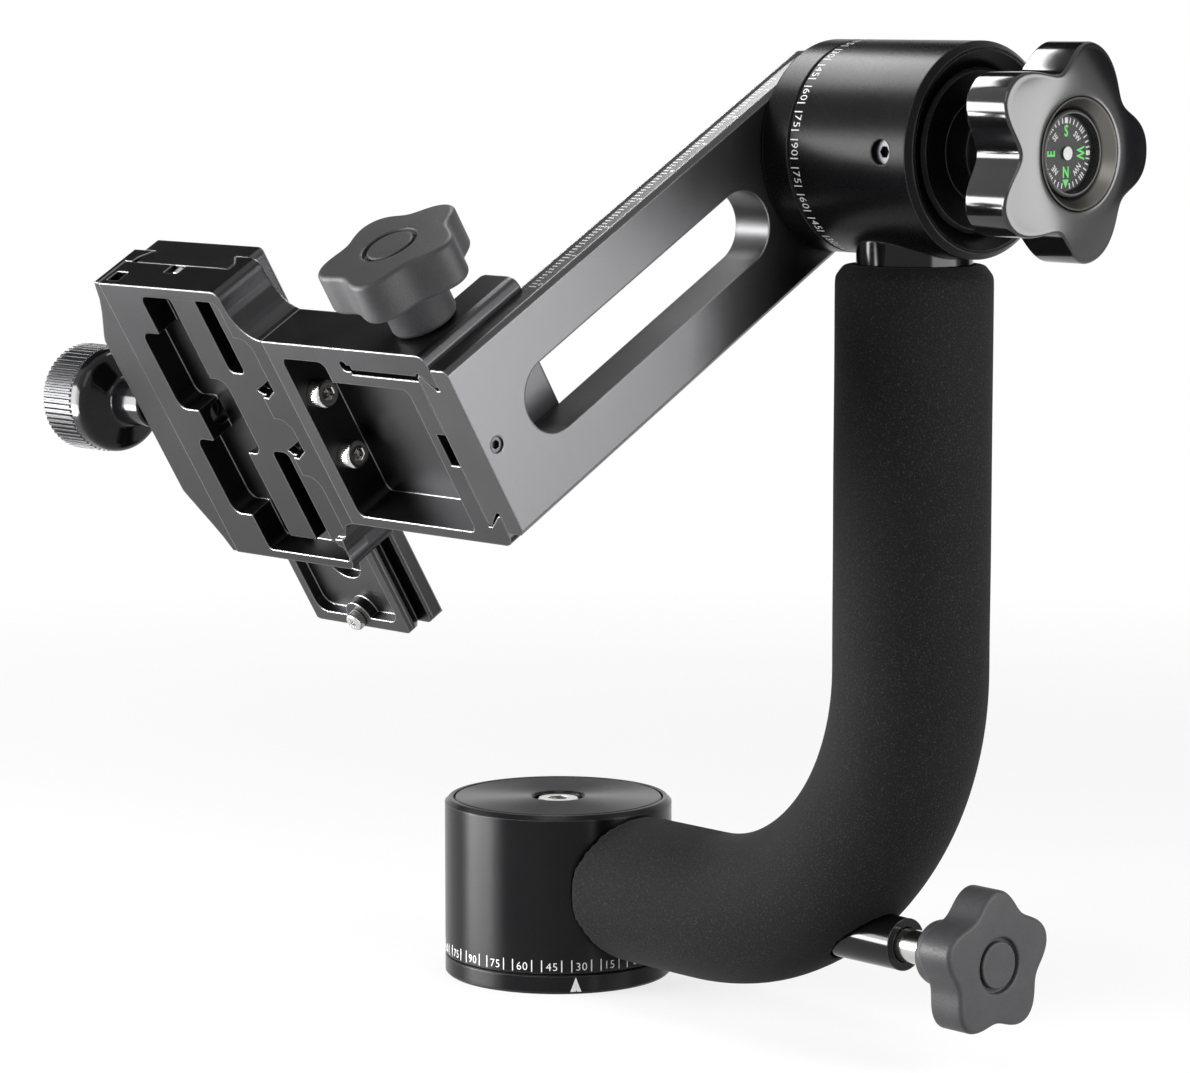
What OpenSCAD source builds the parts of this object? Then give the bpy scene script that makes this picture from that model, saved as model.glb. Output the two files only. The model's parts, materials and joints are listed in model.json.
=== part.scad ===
// Gimbal tripod head. A pan drum on a fixed bottom ring carries a foam-covered J arm.
// The tilt drum at its top carries a swing arm, a sliding L bracket and a plate clamp.
// Millimetres, +Z up. The origin is the centre of the underside, on the pan axis,
// and +X runs from the pan axis to the upright, along the tilt axis.
// The swing arm and all it carries are drawn hanging, then swung to the stored tilt.

/* [Pan base] */
// Outer diameter of the pan drum and of the fixed ring under it
base_d = 60; // [56:1:66]
// Height of the fixed ring
ring_h = 5; // [4.5:0.5:6.5]
// Height of the pan drum's top face above the underside
drum_top_z = 46.8; // [44.8:0.2:52]
// Diameter of the disc let into the drum's top
cap_d = 55; // [48:0.5:55]
// Thickness of that disc
cap_t = 2.5; // [2:0.1:3]
// Hole in the disc that shows the axle screw
cap_hole_d = 13.5; // [12.6:0.1:15]
// Wall diameter of the tripod thread, a 3/8 inch one cut to its minor diameter
tripod_bore_d = 8.2; // [7.8:0.1:9.5]
// Depth of the tripod thread
tripod_depth = 11; // [9:0.5:12]

/* [Pan bearings] */
// Bore of the two pan bearings
pan_bore_d = 24; // [22:1:25]
// Outside diameter of the pan bearings
pan_od = 38; // [37:1:40]
// Width of one pan bearing
pan_bearing_w = 7; // [6:0.5:7.5]
// Balls in one pan bearing
pan_balls = 14; // [8:1:16]

/* [J arm] */
// Distance from the pan axis to the upright's axis
upright_x = 128; // [120:0.5:136]
// Height of the axis of the arm's lower run
arm_axis_z = 26.6; // [26:0.1:28]
// Bend radius of the arm on its centreline
bend_r = 69; // [55:1:75]
// Diameter of the metal core
core_d = 28; // [25:0.5:30]
// Outside diameter of the foam sleeve
foam_d = 38; // [36:0.2:39]
// Gap between the foam's lower end and the pan drum
foam_start_gap = 1.6; // [0.5:0.1:4]
// Height of the foam's upper end below the tilt axis
foam_drop = 27.4; // [26.6:0.2:32]
// Length of the taper at the foam's upper end
foam_taper = 3; // [2:0.5:6]
// Diameter of the boss that carries the pan lock
boss_d = 13; // [11.5:0.1:13]
// Height of the pan lock's screw above the arm's own axis
lock_rise = 1; // [0:0.1:1.5]
// Distance from the upright's axis back to the boss's mouth
boss_back = 0.8; // [0:0.1:4]
// Diameter of the pan lock's stud
lock_stud_d = 8.4; // [7.6:0.1:8.8]

/* [Star knobs] */
// Radius over the lobes of the two plastic knobs
star_tip_r = 18.1; // [16.5:0.1:19]
// Radius in the valleys between the lobes
star_valley_r = 14.4; // [12:0.1:14.5]
// Thickness of the knob's head
star_head_t = 10.5; // [8:0.1:11]
// Diameter of the hub under the head
star_hub_d = 16; // [14.5:0.5:17.5]
// Length of the hub under the head
star_hub_l = 10.4; // [9:0.1:14]
// Diameter of the disc let into the head
star_cap_d = 11.4; // [11:0.1:13.5]
// Radius of the plastic star knobs' rounded edges
star_edge = 1.4; // [0.8:0.1:2]
// Stud that shows between the pan lock's boss and its knob
pan_stud_show = 10; // [8:0.5:13]

/* [Tilt drum] */
// Height of the tilt axis above the underside
tilt_z = 220.7; // [205:0.1:235]
// Diameter of the tilt drum and of the ring that turns beside it
tilt_d = 51.2; // [50:0.2:54]
// Width of the standing part of the tilt drum
tilt_w = 39.1; // [37:0.1:43]
// Distance from the upright's axis to the drum's inner face
tilt_in = 17; // [16.5:0.1:18.5]
// Width of the ring that turns with the swing arm
tilt_ring_w = 9; // [8:0.5:11]
// Tilt of the stored pose: the swing arm's angle from hanging
rest_tilt = 59; // [45:1:75]
// Bore of the two tilt bearings
tilt_bore_d = 16; // [14:1:17]
// Outside diameter of the tilt bearings
tilt_od = 32; // [30:1:33]
// Width of one tilt bearing
tilt_bearing_w = 7; // [6:0.5:7]
// Balls in one tilt bearing
tilt_balls = 11; // [7:1:12]

/* [Tilt lock knob] */
// Radius over the lobes of the polished knob
tilt_knob_tip_r = 26.4; // [25:0.2:29]
// Radius in its valleys
tilt_knob_valley_r = 18; // [17:0.2:20]
// Thickness of the knob
tilt_knob_t = 15; // [13:0.5:17]
// Height of the crown on its front
tilt_knob_crown = 2.6; // [0:0.1:3]
// Distance from the drum's outer face to the knob's back
tilt_knob_gap = 14.8; // [13:0.1:18]
// Diameter of the bevelled ring round the compass
bezel_d = 26; // [25:0.5:27]
// Diameter of the compass capsule
capsule_d = 20; // [18.5:0.1:20.5]

/* [Swing arm] */
// Width of the swing arm
arm_w = 45.5; // [44:0.5:47]
// Thickness of the swing arm
arm_t = 11.4; // [10.5:0.1:13]
// Distance from the tilt axis to the arm's lower end
arm_reach = 130.9; // [122:0.1:145]
// Width of the long slot
slot_w = 18; // [14:0.5:20]
// Distance from the arm's lower end to the slot
slot_foot = 15.4; // [12:0.2:20]
// Distance from the tilt axis to the slot's upper end
slot_head = 28; // [26:0.5:36]
// Half width of the arm's V groove at its root
groove_root = 17; // [16.2:0.1:17.8]
// Distance from the arm's lower end to its stop screw
stop_up = 4.1; // [3.6:0.1:6]

/* [L bracket] */
// Length of the bracket from the clamp to the swing arm
bracket_l = 53.4; // [48:0.2:60]
// Width of the bracket
bracket_w = 53; // [52:0.5:55]
// Height of the bracket's flat part
bracket_h = 13.8; // [13.4:0.2:15]
// Height of the leg that grips the swing arm
leg_h = 32.6; // [30:0.1:38]
// Thickness of the leg behind the arm
leg_t = 5.8; // [5:0.1:7]
// Thickness of the bracket's outer walls
wall_t = 4.5; // [4:0.1:5.5]
// Thickness of the pocket's floor
bracket_floor = 3; // [2.5:0.1:4]
// Width of the slit that lets the upper jaw flex
slit_w = 1.4; // [1:0.1:1.8]
// Distance between the two bracket screws
bracket_screw_pitch = 17.6; // [16:0.1:19]

/* [Plate clamp] */
// Length of the clamp body along the plate
clamp_l = 81; // [76:0.5:88]
// Thickness of the clamp's floor
floor_t = 9.6; // [9:0.1:11]
// Distance from the bracket to the dovetail's centre
dovetail_back = 33.5; // [32:0.1:35]
// Sideways shift of the clamp from the arm's centreline
clamp_shift = 0.8; // [0:0.1:2]
// Length of the moving jaw's thick middle
jaw_mid_l = 42; // [36:0.5:50]
// Thickness of the moving jaw at its middle
jaw_t = 11; // [9:0.2:13]
// Distance between the jaw's guide pins
guide_pitch = 65; // [60:0.5:66]
// Diameter of the jaw's guide pins
guide_pin_d = 4; // [3:0.1:4.5]
// Length of guide pin held in the clamp body
guide_pin_in = 11; // [8:0.5:14]
// Length of clamp screw held in the clamp body
clamp_stud_in = 13; // [10:0.5:15]
// Depth of the pockets milled from below
pocket_depth = 6.6; // [5:0.1:7]
// Height of the clamp screw's axis above the clamp's lower face
clamp_axis_z = 5.6; // [5:0.1:6]
// Diameter of the knurled clamp knob
grip_d = 26.8; // [26:0.2:30]
// Width of the knurled band
grip_w = 12.5; // [9:0.5:13]
// Ridges round the knurled band
grip_ridges = 60; // [44:1:72]
// Depth of the clamp knob's black head behind its knurled grip
hub_head_l = 7.9; // [6:0.1:10]
// Radius of the rounded edge of the clamp knob's head
hub_edge_r = 3; // [2:0.1:4]
// Diameter of the clamp knob's neck
hub_neck_d = 12; // [10:0.1:13]
// Length of the clamp knob's black hub and neck
hub_l = 18.2; // [17:0.1:24]

/* [Lens plate] */
// Length of the lens plate
plate_l = 108.6; // [102:0.2:116]
// Width over the dovetail
dovetail_w = 38.6; // [38:0.1:39.2]
// Width of the plate's upper flange
flange_w = 44; // [42.5:0.2:46]
// Thickness of the plate
plate_t = 9.7; // [9:0.1:11]
// Distance from a plate's end to its stop screw
plate_stop_in = 2.7; // [2.6:0.1:3.4]
// Diameter of the heads of the plate's stop screws
plate_stop_d = 5; // [4.4:0.1:5.2]
// Diameter of the camera screw, a 1/4 inch one
camera_screw_d = 6.35; // [6:0.05:6.5]

/* [Clearances] */
// Radial clearance of a turning or sliding shaft
run_gap = 0.05; // [0.02:0.01:0.08]
// Radial clearance of a pressed or screwed piece
fit_gap = 0.02; // [0.01:0.01:0.04]
// Axial gap beside a turning drum
turn_gap = 0.4; // [0.3:0.05:0.6]
// Gap between sliding dovetail faces
slide_gap = 0.3; // [0.25:0.05:0.4]

/* [Hidden] */
$fn = 48;
cut = 1; // overrun of a cutting solid past the face it opens

// Pan base levels
base_r = base_d / 2;
flange_t = 4.2;
race_low_z = ring_h + flange_t;
race_top_z = drum_top_z - cap_t - 2.8 - pan_bearing_w;
cap_z = drum_top_z - cap_t;
pan_mid_r = (pan_bore_d + pan_od) / 4;
spindle_land_r = pan_bore_d / 2 + 1.2;
housing_mid_r = pan_od / 2 - 2;
bush_r = 6.5;
spigot_r = 10;
flange_r = 20;
flange_screw_r = 15;
axle_head_r = 5.6;
axle_thread_r = 4;

// J arm
bend_x = upright_x - bend_r;
bend_z = arm_axis_z + bend_r;
lock_axis_z = arm_axis_z + lock_rise;
core_r = core_d / 2;
core_spigot_r = 9;
rod_bore_r = lock_stud_d / 2 + 0.25;
boss_end_x = upright_x - boss_back;
foam_in_r = core_r + fit_gap;
foam_end_z = tilt_z - foam_drop;
lock_hub_x = boss_end_x + pan_stud_show;
rod_joint_x = upright_x - 28;
pad_t = 4;
pad_x = spindle_land_r + slide_gap;

// Tilt drum, along X
tilt_r = tilt_d / 2;
drum_x = upright_x - tilt_in;
drum_out_x = drum_x + tilt_w;
ring_out_x = drum_x - turn_gap;
arm_x = ring_out_x - tilt_ring_w;
arm_back_x = arm_x - arm_t;
race_a_x = drum_x + 1.5;
race_b_x = drum_out_x - 10.1 - tilt_bearing_w;
tilt_mid_r = (tilt_bore_d + tilt_od) / 4;
shaft_r = tilt_bore_d / 2;
end_cap_x = drum_out_x - 5.6;
end_cap_t = 4.5;
end_cap_r = 19.4;
shaft_end_x = end_cap_x - 1.6;
tilt_stud_r = 5;
tilt_knob_x = drum_out_x + tilt_knob_gap;
tilt_hub_l = 8;
front_x = tilt_knob_x + tilt_knob_t;
bezel_t = 6;
capsule_back_x = front_x - 7.5;
capsule_t = 5.3;

// Swing arm section
arm_half = arm_w / 2;
front_flange_t = 5.6;
groove_x = arm_x - front_flange_t;
back_half = arm_half - 1.65;

// Platform frame: X as in the row, Y along the plate, Z up from the lower faces
leg_x = arm_back_x - slide_gap;
bracket_x = leg_x - bracket_l;
plate_x = bracket_x - dovetail_back;
body_left_x = plate_x - 22;
jaw_right_x = body_left_x - 0.5;
jaw_left_x = jaw_right_x - jaw_t;
plate_z = floor_t + slide_gap;
dovetail_half = dovetail_w / 2;
dovetail_foot = 1.7;
dovetail_neck = dovetail_half - 3.3;
flange_z = dovetail_foot + 3.5;
jaw_top_z = plate_z + flange_z - slide_gap;
lip_z = plate_z + dovetail_foot; // where the jaws' undercut starts
lip_h = jaw_top_z - 0.5 - lip_z;
plate_start = clamp_shift - clamp_l / 2 + 0.2;
knob_x = leg_x - 5.9;
knob_z = 12.9;
bracket_half = bracket_w / 2;
bracket_screw_z = 5;
clamp_stud_r = 3;

function both_halves(p) = concat(p, [for (i = [len(p) - 1:-1:0]) [p[i][0], -p[i][1]]]);
function arc(cx, cy, r, a0, a1, n = 6) =
  [for (i = [0:n]) [cx + r * cos(a0 + (a1 - a0) * i / n), cy + r * sin(a0 + (a1 - a0) * i / n)]];

// Shared shapes

// Moves children from the hanging arm's frame to the stored tilt
module swung() {
  translate([0, 0, tilt_z]) rotate([-rest_tilt, 0, 0]) children();
}

// The same for pieces drawn from the arm's lower end
module on_platform() {
  swung() translate([0, 0, -arm_reach]) children();
}

// A cylinder along +X from x0 to x1 at a place in Y and Z
module rod_x(x0, x1, r, y = 0, z = 0) {
  translate([x0, y, z]) rotate([0, 90, 0]) cylinder(h = x1 - x0, r = r);
}

module tube_x(x0, x1, r_out, r_in, y = 0, z = 0) {
  difference() {
    rod_x(x0, x1, r_out, y, z);
    rod_x(x0 - cut, x1 + cut, r_in, y, z);
  }
}

module tube_z(z0, z1, r_out, r_in) {
  translate([0, 0, z0]) difference() {
    cylinder(h = z1 - z0, r = r_out);
    translate([0, 0, -cut]) cylinder(h = z1 - z0 + 2 * cut, r = r_in);
  }
}

// A cylinder along Z with chamfered ends
module turned(h, r, low = 0.6, high = 0.6) {
  rotate_extrude($fn = 96)
    polygon([[0, 0], [r - low, 0], [r, low], [r, h - high], [r - high, h], [0, h]]);
}

// Rectangle with round corners, from its lowest corner
module round_rect(x0, y0, x1, y1, r) {
  translate([x0 + r, y0]) square([x1 - x0 - 2 * r, y1 - y0]);
  translate([x0, y0 + r]) square([x1 - x0, y1 - y0 - 2 * r]);
  for (x = [x0 + r, x1 - r], y = [y0 + r, y1 - r]) translate([x, y]) circle(r = r);
}

// Cap screw standing on its head seat, shank down, hex socket up
module cap_screw(head_r, head_h, shank_r, shank_l, hex) {
  difference() {
    union() {
      turned(head_h, head_r, 0.2, 0.5);
      translate([0, 0, -shank_l]) cylinder(h = shank_l + cut / 2, r = shank_r);
    }
    translate([0, 0, head_h * 0.45]) cylinder(h = head_h, r = hex / 2 / cos(30), $fn = 6);
  }
}

// Countersunk screw, flush at Z = 0, shank down
module flat_screw(head_r, shank_r, shank_l, hex) {
  difference() {
    union() {
      translate([0, 0, -(head_r - shank_r)]) cylinder(h = head_r - shank_r, r1 = shank_r, r2 = head_r);
      translate([0, 0, -shank_l]) cylinder(h = shank_l - 0.5, r = shank_r);
    }
    translate([0, 0, -1.4]) cylinder(h = 2, r = hex / 2 / cos(30), $fn = 6);
  }
}

// One ring of a lobed outline, drawn in by an inset and rounded off towards a circle
function lobe_r(a, tip, valley, broad) = valley + (tip - valley) * (1 - pow((1 - cos(5 * a)) / 2, broad));
function lobe_ring(tip, valley, broad, inset, z, n, round, to_r) = [for (i = [0:n - 1])
  let (a = i * 360 / n, r = (lobe_r(a, tip, valley, broad) - inset) * (1 - round) + to_r * round)
    [r * cos(a), r * sin(a), z]];

// Five-lobed knob head with rounded edges, from Z = 0 to t, crowned up to a middle circle;
// broad above 1 makes wide lobes with narrow valleys
module lobed_head(tip, valley, t, edge, n = 80, steps = 3, crown = 0, to_r = 0, broad = 1) {
  low = [for (k = [0:steps]) [edge * (1 - sin(90 * k / steps)), edge * (1 - cos(90 * k / steps)), 0]];
  high = [for (k = [steps:-1:0]) [low[k][0], t - crown - low[k][1], 0]];
  rise = crown == 0 ? [] : [for (k = [1:4]) [edge, t - crown * pow(1 - k / 4, 2), k / 4]];
  profile = concat(low, high, rise);
  last = len(profile) - 1;
  points = [for (p = profile) each lobe_ring(tip, valley, broad, p[0], p[1], n, p[2], to_r)];
  sides = [for (k = [0:last - 1], i = [0:n - 1]) let (a = k * n + i, b = k * n + (i + 1) % n)
    each [[a, a + n, b + n], [a, b + n, b]]];
  bottom = [for (i = [0:n - 1]) i];
  top = [for (i = [n - 1:-1:0]) last * n + i];
  polyhedron(points = points, faces = concat(sides, [bottom, top]), convexity = 6);
}

// Plastic star knob on a stud bore, hub foot at Z = 0
module star_knob(stud_r) {
  total = star_hub_l + star_head_t;
  hub_r = star_hub_d / 2;
  difference() {
    union() {
      turned(star_hub_l + cut, hub_r, 1.3, 0);
      translate([0, 0, star_hub_l]) lobed_head(star_tip_r, star_valley_r, star_head_t, star_edge);
    }
    translate([0, 0, -cut]) cylinder(h = total - 3, r = stud_r + fit_gap);
    translate([0, 0, total - 1.6]) cylinder(h = 3, r = star_cap_d / 2 + 1.1);
  }
}

module star_cap() {
  translate([0, 0, star_hub_l + star_head_t - 1.6]) turned(1.5, star_cap_d / 2, 0.1, 0.3);
}

// Places a star knob on the pan lock, pointing along +X with one lobe up
module on_pan_lock() {
  translate([lock_hub_x, 0, lock_axis_z]) rotate([0, 90, 0]) rotate([0, 0, 180]) children();
}

// Places a star knob on the platform, pointing out of the bracket's top
module on_platform_lock() {
  on_platform() translate([knob_x, -bracket_half - slide_gap, knob_z]) rotate([90, 0, 0])
    rotate([0, 0, 7.5]) children();
}

// Places a turned piece drawn along Z onto the tilt axis, Z = 0 at a given X
module on_tilt_axis(x) {
  translate([x, 0, tilt_z]) rotate([0, 90, 0]) children();
}

// Bearing parts, drawn along Z
module outer_race(bore_d, od, w) {
  mid = (bore_d + od) / 4;
  ball = (od - bore_d) * 0.135;
  difference() {
    tube_z(0, w, od / 2, mid + ball * 0.62);
    translate([0, 0, w / 2]) rotate_extrude() translate([mid, 0]) circle(r = ball + run_gap);
  }
}

module inner_race(bore_d, od, w) {
  mid = (bore_d + od) / 4;
  ball = (od - bore_d) * 0.135;
  difference() {
    tube_z(0, w, mid - ball * 0.62, bore_d / 2 + fit_gap);
    translate([0, 0, w / 2]) rotate_extrude() translate([mid, 0]) circle(r = ball + run_gap);
  }
}

module race_balls(bore_d, od, w, count) {
  mid = (bore_d + od) / 4;
  ball = (od - bore_d) * 0.135;
  for (i = [0:count - 1]) rotate([0, 0, 360 * i / count]) translate([mid, 0, w / 2]) sphere(r = ball);
}

// Base

module base_ring() {
  color("#141416") difference() {
    turned(ring_h, base_r, 0.6, 0.3);
    translate([0, 0, -cut]) cylinder(h = ring_h + 2 * cut, r = bush_r + fit_gap);
    for (a = [30, 150, 270]) rotate([0, 0, a]) translate([flange_screw_r, 0, 0]) {
      translate([0, 0, -cut]) cylinder(h = ring_h + 2 * cut, r = 2.2);
      translate([0, 0, -0.01]) cylinder(h = 2.02, r1 = 4.05, r2 = 2.05);
    }
  }
}

module thread_bush() {
  color("#b9bbbe") difference() {
    cylinder(h = tripod_depth + 1.5, r = bush_r);
    translate([0, 0, -cut]) cylinder(h = tripod_depth + cut, r = tripod_bore_d / 2);
  }
}

module spindle_flange() {
  color("#8d9094") translate([0, 0, ring_h]) difference() {
    union() {
      cylinder(h = flange_t - 0.5, r = flange_r);
      cylinder(h = flange_t, r = pan_mid_r - 1.4);
    }
    translate([0, 0, -cut]) cylinder(h = flange_t + 2 * cut, r = spigot_r + fit_gap);
    for (a = [30, 150, 270]) rotate([0, 0, a])
      translate([flange_screw_r, 0, -cut]) cylinder(h = flange_t + 2 * cut, r = 2 + fit_gap);
  }
}

module pan_spindle() {
  color("#9a9da1") difference() {
    union() {
      translate([0, 0, ring_h]) cylinder(h = race_low_z - ring_h + 0.5, r = spigot_r);
      translate([0, 0, race_low_z]) cylinder(h = pan_bearing_w + 0.5, r = pan_bore_d / 2);
      translate([0, 0, race_low_z + pan_bearing_w])
        cylinder(h = race_top_z - race_low_z - pan_bearing_w, r = spindle_land_r);
      translate([0, 0, race_top_z - 0.5]) cylinder(h = pan_bearing_w + 0.5, r = pan_bore_d / 2);
    }
    translate([0, 0, ring_h - cut]) cylinder(h = tripod_depth + 1.6 - ring_h + cut, r = bush_r + fit_gap);
    translate([0, 0, race_top_z - 6]) cylinder(h = pan_bearing_w + 6 + cut, r = axle_thread_r + fit_gap);
  }
}

module base_screws() {
  color("#6d7074") for (a = [30, 150, 270])
    rotate([0, 0, a]) translate([flange_screw_r, 0, 0.1]) rotate([180, 0, 0])
      flat_screw(3.8, 2, ring_h + 3, 2.5);
}

module pan_inner_races() {
  color("#c8cacc") for (z = [race_low_z, race_top_z])
    translate([0, 0, z]) inner_race(pan_bore_d, pan_od, pan_bearing_w);
}

module pan_bearing_balls() {
  color("#d6d8da") for (z = [race_low_z, race_top_z])
    translate([0, 0, z]) race_balls(pan_bore_d, pan_od, pan_bearing_w, pan_balls);
}

module axle_washer() {
  z = race_top_z + pan_bearing_w;
  color("#a7a9ac") tube_z(z, z + 1.4, pan_mid_r - 1.4, axle_thread_r + 0.2);
}

module axle_screw() {
  color("#b4b6b9") translate([0, 0, race_top_z + pan_bearing_w + 1.4])
    cap_screw(axle_head_r, 3.4, axle_thread_r, 11, 5);
}

// Pan drum and J arm

module pan_housing() {
  z0 = ring_h + slide_gap;
  seat_r = pan_od / 2 + fit_gap;
  color("#111113") difference() {
    translate([0, 0, z0]) turned(drum_top_z - z0, base_r, 0.3, 1.2);
    translate([0, 0, z0 - cut]) cylinder(h = race_low_z - z0 + cut, r = flange_r + 0.6);
    translate([0, 0, z0]) cylinder(h = race_low_z + pan_bearing_w - z0, r = seat_r);
    cylinder(h = drum_top_z, r = housing_mid_r);
    translate([0, 0, race_top_z]) cylinder(h = drum_top_z, r = seat_r);
    translate([0, 0, cap_z]) cylinder(h = cap_t + cut, r = cap_d / 2 + slide_gap);
    rod_x(0, base_r + cut, core_spigot_r + fit_gap, 0, arm_axis_z);
  }
}

module pan_outer_races() {
  color("#c8cacc") for (z = [race_low_z, race_top_z])
    translate([0, 0, z]) outer_race(pan_bore_d, pan_od, pan_bearing_w);
}

module pan_cap() {
  color("#18181a") translate([0, 0, cap_z]) difference() {
    turned(cap_t, cap_d / 2, 0, 0.5);
    translate([0, 0, -cut]) cylinder(h = cap_t + 2 * cut, r = cap_hole_d / 2);
    translate([0, 0, cap_t - 0.6]) cylinder(h = 1, r1 = cap_hole_d / 2, r2 = cap_hole_d / 2 + 1);
  }
}

// Solid of a given radius along the J, from the pan axis to a height
module j_tube(r, x0, z1) {
  rod_x(x0, bend_x, r, 0, arm_axis_z);
  translate([bend_x, 0, bend_z]) rotate([90, 0, 0]) rotate([0, 0, -90])
    rotate_extrude(angle = 90, $fn = 96) translate([bend_r, 0]) circle(r = r);
  translate([upright_x, 0, bend_z]) cylinder(h = z1 - bend_z, r = r);
}

module arm_core() {
  color("#1b1b1d") difference() {
    union() {
      j_tube(core_r, base_r - 8, tilt_z - tilt_r + 12);
      rod_x(rod_joint_x, boss_end_x, boss_d / 2, 0, lock_axis_z);
    }
    difference() {
      cylinder(h = drum_top_z + 2 * core_r, r = base_r + fit_gap);
      rod_x(0, base_r + cut, core_spigot_r, 0, arm_axis_z);
    }
    cylinder(h = drum_top_z, r = housing_mid_r + 0.6);
    rod_x(0, boss_end_x + cut, rod_bore_r, 0, lock_axis_z);
    on_tilt_axis(drum_x - cut) cylinder(h = tilt_w + 2 * cut, r = tilt_r + fit_gap, $fn = 96);
    translate([upright_x, 0, tilt_z - tilt_r - 16]) cylinder(h = 20, r = 3 + fit_gap);
  }
}

module foam_sleeve() {
  color("#26272a") difference() {
    j_tube(foam_d / 2, base_r - 8, foam_end_z);
    j_tube(foam_in_r, base_r - 9, foam_end_z + cut);
    cylinder(h = drum_top_z + foam_d, r = base_r + foam_start_gap, $fn = 96);
    rod_x(bend_x, boss_end_x + 8, boss_d / 2 + 0.15, 0, lock_axis_z);
    translate([upright_x, 0, foam_end_z - foam_taper]) difference() {
      cylinder(h = foam_taper + cut, r = foam_d);
      translate([0, 0, -0.01])
        cylinder(h = foam_taper + 0.02, r1 = foam_d / 2 + 0.02, r2 = foam_d / 2 - foam_taper * 0.75);
    }
  }
}

module pan_brake_pad() {
  color("#d8d2c4") difference() {
    rod_x(pad_x - 2, pad_x + pad_t, lock_stud_d / 2 - run_gap, 0, lock_axis_z);
    cylinder(h = drum_top_z, r = pad_x);
  }
}

module pan_push_rod() {
  color("#8f9296") rod_x(pad_x + pad_t, rod_joint_x, lock_stud_d / 2 - 0.6, 0, lock_axis_z);
}

module pan_lock_stud() {
  color("#cfd1d3") rod_x(rod_joint_x + 0.8, lock_hub_x + star_hub_l, lock_stud_d / 2, 0, lock_axis_z);
}

module pan_lock_knob() {
  color("#2b2c2f") on_pan_lock() star_knob(lock_stud_d / 2);
}

module pan_knob_cap() {
  color("#303134") on_pan_lock() star_cap();
}

// Tilt drum, standing part

module tilt_housing() {
  seat_r = tilt_od / 2 + fit_gap;
  color("#121214") difference() {
    on_tilt_axis(drum_x) turned(tilt_w, tilt_r, 0.3, 1.4);
    on_tilt_axis(drum_x - cut) cylinder(h = tilt_w + 2 * cut, r = tilt_od / 2 - 1.6);
    on_tilt_axis(drum_x - cut) cylinder(h = race_a_x - drum_x + tilt_bearing_w + cut, r = seat_r);
    on_tilt_axis(race_b_x) cylinder(h = tilt_w, r = seat_r);
    on_tilt_axis(end_cap_x) cylinder(h = tilt_w, r = end_cap_r + fit_gap);
    on_tilt_axis(drum_out_x - 3.4) cylinder(h = 3.42, r1 = end_cap_r, r2 = tilt_r - 2.2);
    translate([upright_x, 0, tilt_z - tilt_r - cut]) cylinder(h = tilt_r, r = 3.2);
    translate([upright_x, 0, tilt_z - tilt_r + 3.2]) cylinder(h = tilt_r - 3.2, r = 5.4);
    translate([drum_out_x - 9, -tilt_r - cut, tilt_z]) rotate([-90, 0, 0]) cylinder(h = 9, r = 3);
  }
}

module arm_head_bolt() {
  color("#7c7f83") translate([upright_x, 0, tilt_z - tilt_r + 3.2]) cap_screw(5, 5, 3, 17, 5);
}

module drum_set_screw() {
  color("#a9abae") translate([drum_out_x - 9, -tilt_r + 1.5, tilt_z]) rotate([90, 0, 0]) difference() {
    translate([0, 0, -5]) cylinder(h = 5, r = 3 - fit_gap);
    translate([0, 0, -2]) cylinder(h = 3, r = 1.45, $fn = 6);
  }
}

module tilt_outer_races() {
  color("#c8cacc") for (x = [race_a_x, race_b_x])
    on_tilt_axis(x) outer_race(tilt_bore_d, tilt_od, tilt_bearing_w);
}

module tilt_end_cap() {
  color("#0e0e10") difference() {
    union() {
      on_tilt_axis(end_cap_x) turned(end_cap_t, end_cap_r, 0, 0.8);
      on_tilt_axis(end_cap_x) turned(tilt_knob_x - tilt_hub_l - turn_gap - end_cap_x, 12, 0, 0.8);
      on_tilt_axis(shaft_end_x + turn_gap) cylinder(h = end_cap_x - shaft_end_x, r = 9);
    }
    on_tilt_axis(end_cap_x - cut) cylinder(h = 30, r = tilt_stud_r + run_gap);
    on_tilt_axis(shaft_end_x) cylinder(h = end_cap_x - shaft_end_x, r = 7 + run_gap);
  }
}

module tilt_brake_pad() {
  color("#d8d2c4") on_tilt_axis(shaft_end_x + slide_gap)
    cylinder(h = end_cap_x - shaft_end_x - 2 * slide_gap, r = 7);
}

module tilt_lock_stud() {
  color("#b7b9bc") rod_x(end_cap_x, tilt_knob_x + 5, tilt_stud_r, 0, tilt_z);
}

module tilt_lock_knob() {
  color("#0c0c0e") difference() {
    on_tilt_axis(tilt_knob_x) rotate([0, 0, 90])
      lobed_head(tilt_knob_tip_r, tilt_knob_valley_r, tilt_knob_t, 1, 100, 3,
        tilt_knob_crown, bezel_d / 2 + 0.6, 2);
    on_tilt_axis(front_x - bezel_t) cylinder(h = bezel_t + cut, r = bezel_d / 2);
    on_tilt_axis(capsule_back_x) cylinder(h = 20, r = capsule_d / 2 + fit_gap);
    on_tilt_axis(tilt_knob_x - cut) cylinder(h = 5 + cut, r = tilt_stud_r + fit_gap);
  }
  color("#0c0c0e") tube_x(tilt_knob_x - tilt_hub_l, tilt_knob_x, 13, tilt_stud_r + fit_gap, 0, tilt_z);
}

module compass_bezel() {
  color("#6a645c") on_tilt_axis(front_x - bezel_t) difference() {
    cylinder(h = bezel_t, r = bezel_d / 2 - fit_gap);
    translate([0, 0, -cut]) cylinder(h = bezel_t + 2 * cut, r = capsule_d / 2 + 0.2);
    translate([0, 0, bezel_t - 3.6]) cylinder(h = 3.61, r1 = capsule_d / 2 + 0.2, r2 = bezel_d / 2 - 0.4);
  }
}

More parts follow.
